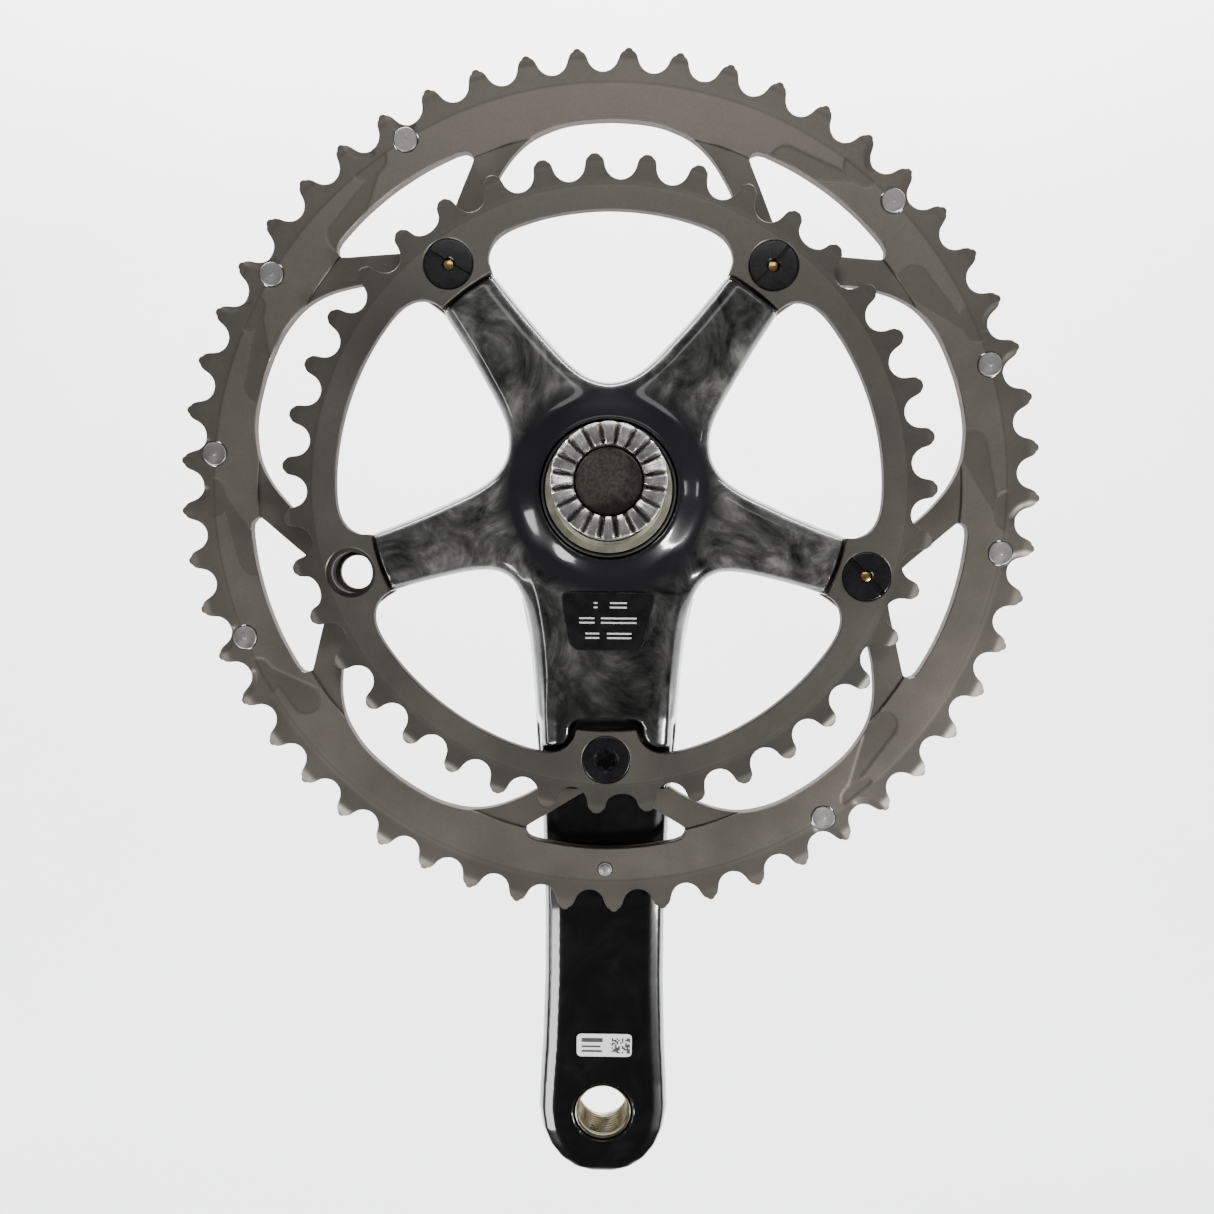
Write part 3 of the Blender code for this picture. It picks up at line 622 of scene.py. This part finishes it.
def outer_ring():
    """Toothed rim with its pin holes, joined with the web inside it."""
    count = OUTER["teeth"] * 34
    angles = OUTER["phase"] + np.arange(count) * 360.0 / count
    r_out = tooth_radius(angles, OUTER)
    r_in = np.maximum(np.maximum(RIM_R, opening_radius(angles, OUTER_OPENING)), window_edge(angles))
    marks = [*np.linspace(90.5, 100.2, 24), 100.45, 100.7, 101.0, 101.5, 102.0]
    mesh = ring_grid("rim", angles, r_in, r_out, marks, relief_outer, back_outer)
    rim = add_object("outer_ring_body", mesh, None, None)
    pins = [(*polar(pin_angle(tooth), PIN_CIRCLE), [(3.22, -12.0), (3.22, -4.0)]) for tooth in PIN_TEETH]
    pins.append((0.0, CATCH_Y, [(1.95, -12.0), (1.95, -4.0)]))
    cut(rim, drill("pin_holes", pins, 40))
    joined = join_meshes("outer_ring", [rim.data, outer_web()])
    bpy.data.objects.remove(rim)
    ring = add_object("outer_ring", joined, OUTER_ALLOY, "anodised_alloy", ["outer_chainring"])
    smooth_shade(ring, 32)


def mirrored_profile(curve):
    return [(-a, r) for a, r in curve[::-1]] + [(a, r) for a, r in curve[1:]]


def under_rim(r):
    """Radius of the web's outline, moved out under the rim where the two meet."""
    return r + float(smoothstep(89.4, 90.6, r))


def outer_web():
    """Tabs and struts of the outer ring, a little lower than its rim."""
    opening = []
    half = catmull(OUTER_OPENING, 6)
    edge, tab_r = OUTER_OPENING[-1]
    for k in range(5):
        opening += [polar(72.0 * k + a, under_rim(r)) for a, r in mirrored_profile(half)]
        for share in (0.2, 0.4, 0.6, 0.8):
            opening.append(polar(72.0 * k + edge + (72.0 - 2 * edge) * share, tab_r))
    outlines = [[polar(a, 96.0) for a in range(0, 360, 3)], opening]
    window = catmull(OUTER_WINDOW, 5)
    for bolt in BOLT_ANGLES:
        points = [polar(bolt + a, under_rim(r)) for a, r in window]
        points += [polar(bolt - a, under_rim(r)) for a, r in window[::-1][1:-1]]
        outlines.append(points)
        outlines.append(circle(*polar(bolt, BOLT_R), 4.25))
    web = add_object("web_body", curve_plate("web", outlines, -10.25, -7.4, 0.22), None, None)
    spots = [(*polar(b, BOLT_R), [(6.25, -14.0), (6.25, -8.8)]) for b in BOLT_ANGLES if b != SCREW_ANGLE]
    cut(web, drill("web_sinks", spots, 48))
    mesh = web.data
    bpy.data.objects.remove(web)
    return mesh


def inner_ring():
    """Inner ring with five stepped bolt holes."""
    count = INNER["teeth"] * 40
    angles = INNER["phase"] + np.arange(count) * 360.0 / count
    r_out = tooth_radius(angles, INNER, BOLT_ANGLES)
    r_in = opening_radius(angles, INNER_OPENING)
    marks = [*np.linspace(61.5, 73.1, 22), 73.4, 73.65, 73.9, 74.4]
    mesh = ring_grid("inner_ring", angles, r_in, r_out, marks, relief_inner, back_inner)
    ring = add_object("inner_ring", mesh, INNER_ALLOY, "anodised_alloy", ["inner_chainring"])
    spots = [(*polar(b, BOLT_R), INNER_HOLE) for b in BOLT_ANGLES]
    cut(ring, drill("ring_holes", spots, 64))
    smooth_shade(ring, 32)


# ---------------------------------------------------------------- crank arm and spider

def badge_distance(x, z):
    """How far outside the badge's outline a point lies, in millimetres."""
    corners = [np.array(c) for c in BADGE_CORNERS]
    away = np.full(np.shape(x), -99.0)
    for a, b in zip(corners, corners[1:] + corners[:1]):
        along = (b - a) / np.hypot(*(b - a))
        away = np.maximum(away, (x - a[0]) * -along[1] + (z - a[1]) * along[0])
    return away


def crank_body():
    """The arm and spider: the CAD solid resampled finely, shaped and softened."""
    mesh = NODES["crank_arm"].data.copy()
    obj = add_object("crank_shell", mesh, None, None)
    modifier = obj.modifiers.new("resample", "REMESH")
    modifier.mode = "VOXEL"
    modifier.voxel_size = 0.5 * MM
    modifier.adaptivity = 0.0
    apply_modifiers(obj)
    soften = obj.modifiers.new("soften", "SMOOTH")
    soften.factor = 0.5
    soften.iterations = 10
    apply_modifiers(obj)
    mesh = obj.data
    collar = obj.vertex_groups.new(name="collar")
    points = np.empty(len(mesh.vertices) * 3)
    mesh.vertices.foreach_get("co", points)
    x, y, z = (points.reshape(-1, 3) / MM).T
    span = np.hypot(x, z)
    near = smoothstep(17.9, 19.5, span) * smoothstep(34.0, 27.0, span) * (y < REACH + 8.0)
    flank = smoothstep(-12.0, -24.0, z) * smoothstep(-54.0, -44.0, z)
    flank = flank * (np.abs(x) < 26.0) * (y < REACH + 6.0) * smoothstep(0.0, 1.2, badge_distance(x, z))
    share = np.maximum(near, flank * 0.8)
    for level in range(1, 11):
        chosen = np.nonzero(np.round(share * 10) == level)[0]
        collar.add([int(i) for i in chosen], level / 10, "REPLACE")
    blend = obj.modifiers.new("blend", "SMOOTH")
    blend.vertex_group = "collar"
    blend.factor = 0.6
    blend.iterations = 90
    apply_modifiers(obj)
    mesh = obj.data
    bpy.data.objects.remove(obj)
    made = add_object("crank_shell", mesh, CARBON, "carbon", ["crank_arm"])
    made.data.shade_smooth()


# ---------------------------------------------------------------- spindle and small parts

def spindle_piece():
    """Half spindle with a tapered face spline, turned journal and chamfered bore."""
    teeth = 20
    per_tooth = 24
    count = teeth * per_tooth
    a = np.arange(count) * 2 * math.pi / count
    phase = (np.arange(count) % per_tooth) / per_tooth
    from_middle = (((phase + 0.5) % 1.0) - 0.5) * 360.0 / teeth
    offset = np.abs(from_middle)
    rng = np.random.default_rng(3)
    tooth = ((np.arange(count) / per_tooth + 0.5) % teeth).astype(int)
    lean = rng.uniform(-1.0, 1.0, teeth)[tooth]
    tilt = 0.30 * np.abs(lean) * np.clip(0.5 + 0.5 * from_middle / 4.6 * np.sign(lean), 0.0, 1.0)
    rows = [(7.6, np.full(count, -11.8)), (12.5, np.full(count, -11.8))]
    rows += [(12.5, np.full(count, z)) for z in (4.0, 20.0, 34.0, 36.4)]
    radii = (12.5, 12.42, 12.15, 11.4, 10.4, 9.4, 8.4, 7.75, 7.6)
    rounding = (0.4, 0.12, 0.0, 0.0, 0.0, 0.0, 0.0, 0.2, 0.45)
    for r, lower in zip(radii, rounding):
        flat = 4.55 - 0.175 * (10.0 - r) / 2.4
        depth = 1.9 * np.interp(offset, [flat, flat + 0.25, 8.2, 9.0], [0.0, 0.08, 0.94, 1.0])
        rows.append((r, REACH - depth - lower - tilt * (depth < 0.2)))
    rows.append((7.6, np.full(count, 36.0)))
    points = np.concatenate([np.stack([r * np.sin(a), r * np.cos(a), z], -1) for r, z in rows])
    mesh = mesh_from("spindle_tube", points, grid_faces(len(rows), count)[:, ::-1])
    smooth_shade(add_object("spindle_tube", mesh, STEEL, "spindle_steel", ["spindle"]), 28)


def turned_piece(name, profile, count, mat, slot, replaced, spot=(0.0, 0.0), angle=35.0):
    """One turned piece in its place, from its profile, drawn for the CAD node that it replaces."""
    obj = add_object(name, turned_mesh(name, profile, count), mat, slot, [replaced])
    seat(obj, *spot)
    smooth_shade(obj, angle)


def rounded_profile(corners, size):
    """Closed profile with every listed corner cut twice, so that edges catch the light."""
    out = []
    count = len(corners)
    for i in range(count):
        a = np.array(corners[i - 1], float)
        b = np.array(corners[i], float)
        c = np.array(corners[(i + 1) % count], float)
        near = min(size, 0.4 * np.hypot(*(a - b)), 0.4 * np.hypot(*(c - b)))
        start = b + (a - b) / max(1e-9, np.hypot(*(a - b))) * near
        end = b + (c - b) / max(1e-9, np.hypot(*(c - b))) * near
        middle = 0.25 * start + 0.5 * b + 0.25 * end
        for point in (start, middle, end):
            out.append((max(0.0001, point[0]), point[1]))
    return out


def small_parts():
    """Turned pieces round the spindle, in the arm and in the rings."""
    ring = ((12.8, 1.3), (15.5, 1.3), (15.5, 5.0), (13.6, 5.0), (13.2, 4.4), (12.8, 4.4))
    ring = rounded_profile(ring, 0.2)
    turned_piece("shoulder_ring", ring, 180, OLIVE, "olive_alloy", "spindle_shoulder_ring")
    seal = ((15.8, 1.3), (16.6, 1.3), (16.6, 3.5), (16.4, 3.8), (16.0, 3.8), (15.8, 3.5))
    turned_piece("seal_ring", rounded_profile(seal, 0.3), 150, RUBBER, "black_rubber", "spindle_seal")
    plug = ((0.0, 32.0), (7.3, 32.0), (7.3, 35.6), (6.7, 35.9), (0.0, 35.85))
    turned_piece("bore_disc", rounded_profile(plug, 0.25), 96, PLUG, "plug_plastic", "bore_plug")
    cap = [(0.0, -15.7), (7.0, -15.7), (10.0, -15.9), (10.0, -18.0), (9.2, -18.8)]
    cap += [(6.0, -19.0), (5.2, -18.7), (2.0, -18.7), (1.6, -19.0), (0.0, -19.0)]
    turned_piece("outer_cap", rounded_profile(cap, 0.35), 110, CAP, "cap_black", "dust_cap")
    pedal_sleeve()
    sunk = rounded_profile(((4.0, -19.2), (5.1, -19.2), (5.1, -10.9), (4.0, -10.9)), 0.2)
    turned_piece("screw_insert", sunk, 60, PIN, "pin_steel", "arm_insert", polar(SCREW_ANGLE, BOLT_R))
    bush = rounded_profile(((5.25, -6.6), (6.5, -6.6), (6.5, -2.9), (5.25, -2.9)), 0.2)
    for number, angle in enumerate((*NUT_ANGLES, EMPTY_ANGLE), 1):
        node = f"spider_bushing_{number}"
        turned_piece(f"bush_{number}", bush, 72, BUSH, "bushing_black", node, polar(angle, BOLT_R))
    pin = [(0.0, -6.52), (0.35, -6.50), (0.5, -6.56), (2.75, -6.55), (2.95, -6.66), (3.03, -6.85)]
    pin += [(3.05, -9.5), (2.7, -9.9), (0.0, -9.9)]
    for number, tooth in enumerate(PIN_TEETH, 1):
        spot = polar(pin_angle(tooth), PIN_CIRCLE)
        node = f"shift_pin_{number}"
        turned_piece(f"ramp_pin_{number}", pin[::-1], 64, PIN, "pin_steel", node, spot, 18.0)
    catch = [(0.0, -6.2), (0.9, -6.22), (1.15, -6.32), (1.25, -6.6), (1.78, -6.7), (1.8, -7.0)]
    catch += [(1.8, -10.4), (1.6, -10.6), (0.0, -10.6)]
    turned_piece("catch_stud", catch[::-1], 48, PIN, "pin_steel", "chain_catch_pin", (0.0, CATCH_Y))


def pedal_sleeve():
    """Insert of the pedal eye with a real helical thread, flange outboard and a chamfer inboard."""
    pitch = 25.4 / 20
    low, high = -33.75, -20.3
    threaded = high - low - 1.0
    around = 96
    per_turn = 8
    steps = int(threaded / pitch * per_turn)
    a = np.arange(around) * 2 * math.pi / around
    rows = []
    for k in range(steps + 1):
        z = low + 0.4 + threaded * k / steps
        phase = (z / pitch + a / (2 * math.pi)) % 1.0
        wave = np.abs(phase - 0.5) * 2
        fade = min(1.0, k / per_turn, (steps - k) / per_turn)
        rows.append((7.02 + 0.42 * np.clip((wave - 0.12) / 0.76, 0, 1) * fade - 0.1 * fade, z))
    rows += [(7.25, high - 0.25), (7.45, high), (7.62, high - 0.05), (7.75, high - 0.25), (7.8, -21.0)]
    rows += [(7.8, -32.5), (9.3, -32.55), (9.5, -32.8), (9.5, -33.5), (9.3, low), (7.5, low), (7.2, -33.6)]
    points = np.concatenate([np.stack([r * np.cos(a), r * np.sin(a), z + 0 * a], -1) for r, z in rows])
    mesh = own_axis_mesh("pedal_sleeve", points, grid_faces(len(rows), around))
    obj = add_object("pedal_sleeve", mesh, BRASS, "olive_alloy", ["pedal_insert"])
    seat(obj, 0.0, PEDAL_Y)
    smooth_shade(obj, 40)


def block_mesh(name, outline, z0, z1):
    """Closed prism over an outline, drawn about its own line."""
    n = len(outline)
    points = [(x, y, z) for z in (z0, z1) for x, y in outline]
    faces = [tuple(range(n)), tuple(range(2 * n - 1, n - 1, -1))]
    faces += [(i, (i + 1) % n, n + (i + 1) % n, n + i) for i in range(n)]
    return own_axis_mesh(name, points, faces)


def star_outline(outer, inner):
    """Six-lobed socket outline."""
    out = []
    for k in range(72):
        a = 2 * math.pi * k / 72
        wave = 0.5 + 0.5 * math.cos(6 * a)
        r = inner + (outer - inner) * wave ** 0.8
        out.append((r * math.sin(a), r * math.cos(a)))
    return out


def ring_nut(number, angle, turn, half_slot):
    """Flanged nut with a straight slot across its face."""
    profile = [(1.5, -1.2), (1.5, 0.2), (1.75, 0.4), (5.65, 0.4), (5.9, 0.3), (6.0, 0.08), (6.0, -0.9)]
    profile += [(4.95, -0.9), (4.95, -7.0), (4.15, -7.0), (4.15, -1.2)]
    mesh = turned_mesh("nut", profile, 110)
    nut = add_object(f"ring_nut_{number}", mesh, NUT, "black_alloy", [f"chainring_nut_{number}"])
    along = np.array(polar(turn, 1.0))
    across = np.array([along[1], -along[0]])
    signs = ((-1, -1), (-1, 1), (1, 1), (1, -1))
    corners = [along * end * 8 + across * side * half_slot for end, side in signs]
    cut(nut, block_mesh("slot", corners, -0.35, 3.0))
    seat(nut, *polar(angle, BOLT_R))
    smooth_shade(nut, 30)


def ring_bolt(number, angle):
    """Bolt with its star socket outboard and its tip showing in the nut."""
    shank = [(0.0, -10.3), (5.6, -10.3), (5.88, -10.2), (6.0, -9.95), (6.0, -9.1), (3.85, -9.1)]
    shank += [(3.85, -2.2), (1.35, -1.9), (1.28, -0.6), (1.0, -0.45), (0.0, -0.42)]
    mesh = turned_mesh("bolt", shank, 96)
    bolt = add_object(f"ring_bolt_{number}", mesh, GOLD, "plated_steel", [f"chainring_bolt_{number}"])
    cut(bolt, block_mesh("socket", star_outline(2.6, 1.95), -12.0, -8.6))
    seat(bolt, *polar(angle, BOLT_R))
    smooth_shade(bolt, 30)


def tab_screw():
    """Screw over the crank arm with its star socket inboard."""
    profile = [(0.0, -17.0), (3.4, -17.0), (3.7, -16.6), (3.7, -0.9), (6.0, -0.9), (6.0, 0.0)]
    profile += [(5.9, 0.25), (5.6, 0.38), (3.1, 0.4), (2.95, 0.3), (2.8, 0.05), (0.0, 0.05)]
    screw = add_object("tab_screw", turned_mesh("screw", profile, 110), NUT, "black_alloy", ["arm_screw"])
    cut(screw, block_mesh("socket", star_outline(2.62, 1.95), -1.9, 3.0))
    seat(screw, *polar(SCREW_ANGLE, BOLT_R))
    smooth_shade(screw, 30)


def fasteners():
    slots = ((120.0, 0.75), (40.0, 0.55), (135.0, 0.75))
    for number, (angle, (turn, half_slot)) in enumerate(zip(NUT_ANGLES, slots), 1):
        ring_nut(number, angle, turn, half_slot)
        ring_bolt(number, angle)
    tab_screw()


# ---------------------------------------------------------------- badge and label

def rounded_outline(corners, radius, steps=8):
    """Outline with every corner rounded."""
    out = []
    count = len(corners)
    for i in range(count):
        a, b, c = (np.array(corners[k % count], float) for k in (i - 1, i, i + 1))
        start = b + (a - b) / np.hypot(*(a - b)) * radius
        end = b + (c - b) / np.hypot(*(c - b)) * radius
        for t in np.linspace(0, 1, steps + 1):
            out.append(tuple(start * (1 - t) ** 2 + b * 2 * t * (1 - t) + end * t ** 2))
    return out


def layered(name, outlines, z0, z1, edge, mat, slot, replaced=()):
    obj = add_object(name, curve_plate(name, outlines, z0, z1, edge), mat, slot, replaced)
    smooth_shade(obj, 40)


def bar(x0, x1, y, half):
    return [(x0, y - half), (x1, y - half), (x1, y + half), (x0, y + half)]


def badge():
    """Recessed name plate with plain light bars in place of its lettering."""
    plate = [rounded_outline(BADGE_CORNERS, 2.0)]
    layered("badge_body", plate, 1.8, 2.22, 0.12, BADGE, "badge_black", ["badge_plate"])
    bars = []
    for y, spans in BADGE_ROWS:
        for x0, x1 in spans:
            bars += [bar(x0, x1, y + 0.55, 0.20), bar(x0, x1, y - 0.55, 0.20)]
    outlines = [rounded_outline(b, 0.1, 3) for b in bars]
    layered("badge_bars", outlines, 2.23, 2.3, 0.01, INK_LIGHT, "badge_black")


def label():
    """White label with plain grey bars and a plain chequered field, laid on the arm's slope."""
    slope = math.atan(0.13)
    place = Matrix.Translation((0.2 * MM, (REACH + 17.45) * MM, -149.6 * MM))
    lay = place @ Matrix.Rotation(slope, 4, "X")
    shape = rounded_outline(bar(-7.5, 7.5, 0.0, 3.4), 1.4, 6)
    sheet = block_mesh("label_sheet", shape, 0.0, 0.2)
    paper = add_object("label_sheet", sheet, PAPER, "label_white", ["label_sticker"])
    paper.matrix_world = lay
    cells = [bar(-6.2, -0.4, 1.55, 0.62), bar(-6.2, -1.0, -0.35, 0.28), bar(-6.2, -0.6, -1.75, 0.30)]
    rng = np.random.default_rng(7)
    size = 0.46
    for row in range(10):
        for column in range(11):
            if rng.random() < 0.52:
                x = 2.0 + column * size
                y = -2.4 + row * size
                cells.append(bar(x, x + size, y + size / 2, size / 2))
    printed = join_meshes("label_print", [block_mesh("cell", cell, 0.19, 0.24) for cell in cells])
    ink = add_object("label_print", printed, INK_DARK, "label_white")
    ink.matrix_world = lay


# ---------------------------------------------------------------- camera, light, floor

def camera():
    """Camera at the photograph's viewing angle: just below the spindle's axis and tilted a little down."""
    data = bpy.data.cameras.new("camera")
    data.sensor_width = 36.0
    data.lens = 33.10716
    data.shift_x = 0.0129572
    data.shift_y = 0.0233740
    data.clip_start = 0.01
    data.clip_end = 20.0
    obj = bpy.data.objects.new("camera", data)
    bpy.context.scene.collection.objects.link(obj)
    obj.location = (-0.0003026, -0.2394119, -0.0151012)
    obj.rotation_euler = [math.radians(turn) for turn in (85.689955, -0.452334, 0.793351)]
    bpy.context.scene.camera = obj


def area_light(name, place, target, size, power):
    data = bpy.data.lights.new(name, "AREA")
    data.shape = "RECTANGLE"
    data.size, data.size_y = size
    data.energy = power
    obj = bpy.data.objects.new(name, data)
    bpy.context.scene.collection.objects.link(obj)
    obj.location = place
    obj.rotation_euler = (Vector(target) - Vector(place)).to_track_quat("-Z", "Y").to_euler()
    obj.visible_camera = False


def sky_step(tree, value, limits):
    """Smooth step of a value: where it starts and ends, then what it gives at both."""
    step = tree.nodes.new("ShaderNodeMapRange")
    step.interpolation_type = "SMOOTHSTEP"
    tree.links.new(value, step.inputs["Value"])
    for key, limit in zip(("From Min", "From Max", "To Min", "To Max"), limits):
        step.inputs[key].default_value = limit
    return step.outputs[0]


def sky_mix(tree, share, first, second):
    mix = tree.nodes.new("ShaderNodeMix")
    tree.links.new(share, mix.inputs[0])
    tree.links.new(first, mix.inputs[2])
    mix.inputs[3].default_value = second
    return mix.outputs[0]


def studio_sky():
    """Pale room: dim in front of the crankset, bright at its sides, above and behind it."""
    sky = bpy.data.worlds.new("studio")
    bpy.context.scene.world = sky
    sky.use_nodes = True
    tree = sky.node_tree
    coords = tree.nodes.new("ShaderNodeTexCoord")
    split = tree.nodes.new("ShaderNodeSeparateXYZ")
    tree.links.new(coords.outputs["Generated"], split.inputs[0])
    behind = sky_step(tree, split.outputs["Y"], (-0.15, 0.50, 0.0, 1.0))
    front = sky_step(tree, split.outputs["Z"], (-0.30, 0.45, 0.06, 0.22))
    room = sky_mix(tree, behind, front, 1.0)
    seen = tree.nodes.new("ShaderNodeLightPath")
    level = sky_mix(tree, seen.outputs["Is Camera Ray"], room, 1.6)
    back = tree.nodes["Background"]
    tree.links.new(level, back.inputs["Strength"])
    back.inputs["Color"].default_value = (0.96, 0.97, 1.0, 1.0)


def studio_floor():
    """Pale floor that sweeps up into a wall well behind the crankset, with painted shade that darkens it
    towards the bottom.
    """
    sweep = 0.6
    wall = 0.9
    bend = wall - sweep
    line = [(FLOOR_FRONT, 0.0), (bend, 0.0)]
    for t in np.linspace(0.08, math.pi / 2, 20):
        line.append((bend + sweep * math.sin(t), sweep - sweep * math.cos(t)))
    line.append((wall, 2.6))
    verts = [(x, y, z + FLOOR_LEVEL) for x in (-2.6, 2.6) for y, z in line]
    count = len(line)
    mesh = bpy.data.meshes.new("floor")
    mesh.from_pydata(verts, [], [(i, i + 1, count + i + 1, count + i) for i in range(count - 1)])
    obj = bpy.data.objects.new("floor", mesh)
    bpy.context.scene.collection.objects.link(obj)
    obj.data.shade_smooth()
    n = Nodes("paper_floor")
    n.set(Roughness=0.9, Specular_IOR_Level=0.1)
    # Painted shade: floor and wall are painted darker and bluer low down, lighter higher up
    shade = n.mix(n.spread(n.axis("Z"), -0.6, 0.35), (0.66, 0.68, 0.71), (0.90, 0.90, 0.90))
    n.link(n.mix(n.noise(6.0, 3.0, 0.5), shade, n.mix(0.10, shade, (0.2, 0.2, 0.2))), "Base Color")
    obj.data.materials.append(n.mat)


def studio():
    studio_sky()
    middle = (0.0, 0.03, -0.04)
    area_light("left", (-0.75, -0.30, -0.38), middle, (0.09, 0.44), 2.7)
    area_light("right", (0.75, -0.35, 0.06), middle, (0.07, 0.12), 0.30)
    area_light("low_left", (-0.48, -0.46, -0.62), middle, (0.28, 0.20), 5.5)
    area_light("low_right", (0.70, -0.52, -0.50), middle, (0.10, 0.22), 13.0)
    area_light("top", (0.05, -0.95, 0.60), middle, (0.80, 0.25), 2.6)
    area_light("wall", (0.0, 0.25, 1.1), (0.0, 0.9, 0.15), (2.4, 0.3), 118.0)
    studio_floor()


OUTER_ALLOY = alloy_material("outer_alloy", (0.172, 0.156, 0.134), OUTER_FACE)
INNER_ALLOY = alloy_material("inner_alloy", (0.132, 0.122, 0.106), INNER_FACE)
CARBON = carbon_material()
STEEL = spline_steel()
OLIVE = turned_metal("olive_alloy", (0.36, 0.35, 0.27), 0.36, strength=0.2, metallic=0.8)
BRASS = turned_metal("insert_alloy", (0.30, 0.27, 0.19), 0.30, strength=0.25)
PIN = turned_metal("pin_steel", (0.40, 0.39, 0.38), 0.42, strength=0.45, lines=2600.0)
RUBBER = plain_material("black_rubber", (0.014, 0.014, 0.015), 0.5)
BUSH = plain_material("bushing_black", (0.010, 0.010, 0.011), 0.7, gloss=0.08)
PLUG = plain_material("plug_olive", (0.027, 0.025, 0.019), 0.42, grain=1500.0, spread=0.5)
CAP = plain_material("cap_black", (0.012, 0.012, 0.013), 0.3)
NUT = plain_material("nut_black", (0.0050, 0.0050, 0.0058), 0.27, grain=900.0, strength=0.08)
GOLD = plain_material("gold_plate", (0.70, 0.45, 0.16), 0.25, metallic=1.0)
BADGE = plain_material("badge_black", (0.0035, 0.0035, 0.0040), 0.30, grain=2000.0, strength=0.06)
INK_LIGHT = plain_material("badge_print", (0.62, 0.62, 0.62), 0.5, grain=3000.0, spread=0.1)
PAPER = plain_material("label_paper", (0.82, 0.82, 0.83), 0.45, grain=2500.0, spread=0.04)
INK_DARK = plain_material("label_print", (0.05, 0.05, 0.055), 0.5, grain=3000.0)
camera()
studio()
outer_ring()
inner_ring()
crank_body()
spindle_piece()
small_parts()
fasteners()
badge()
label()
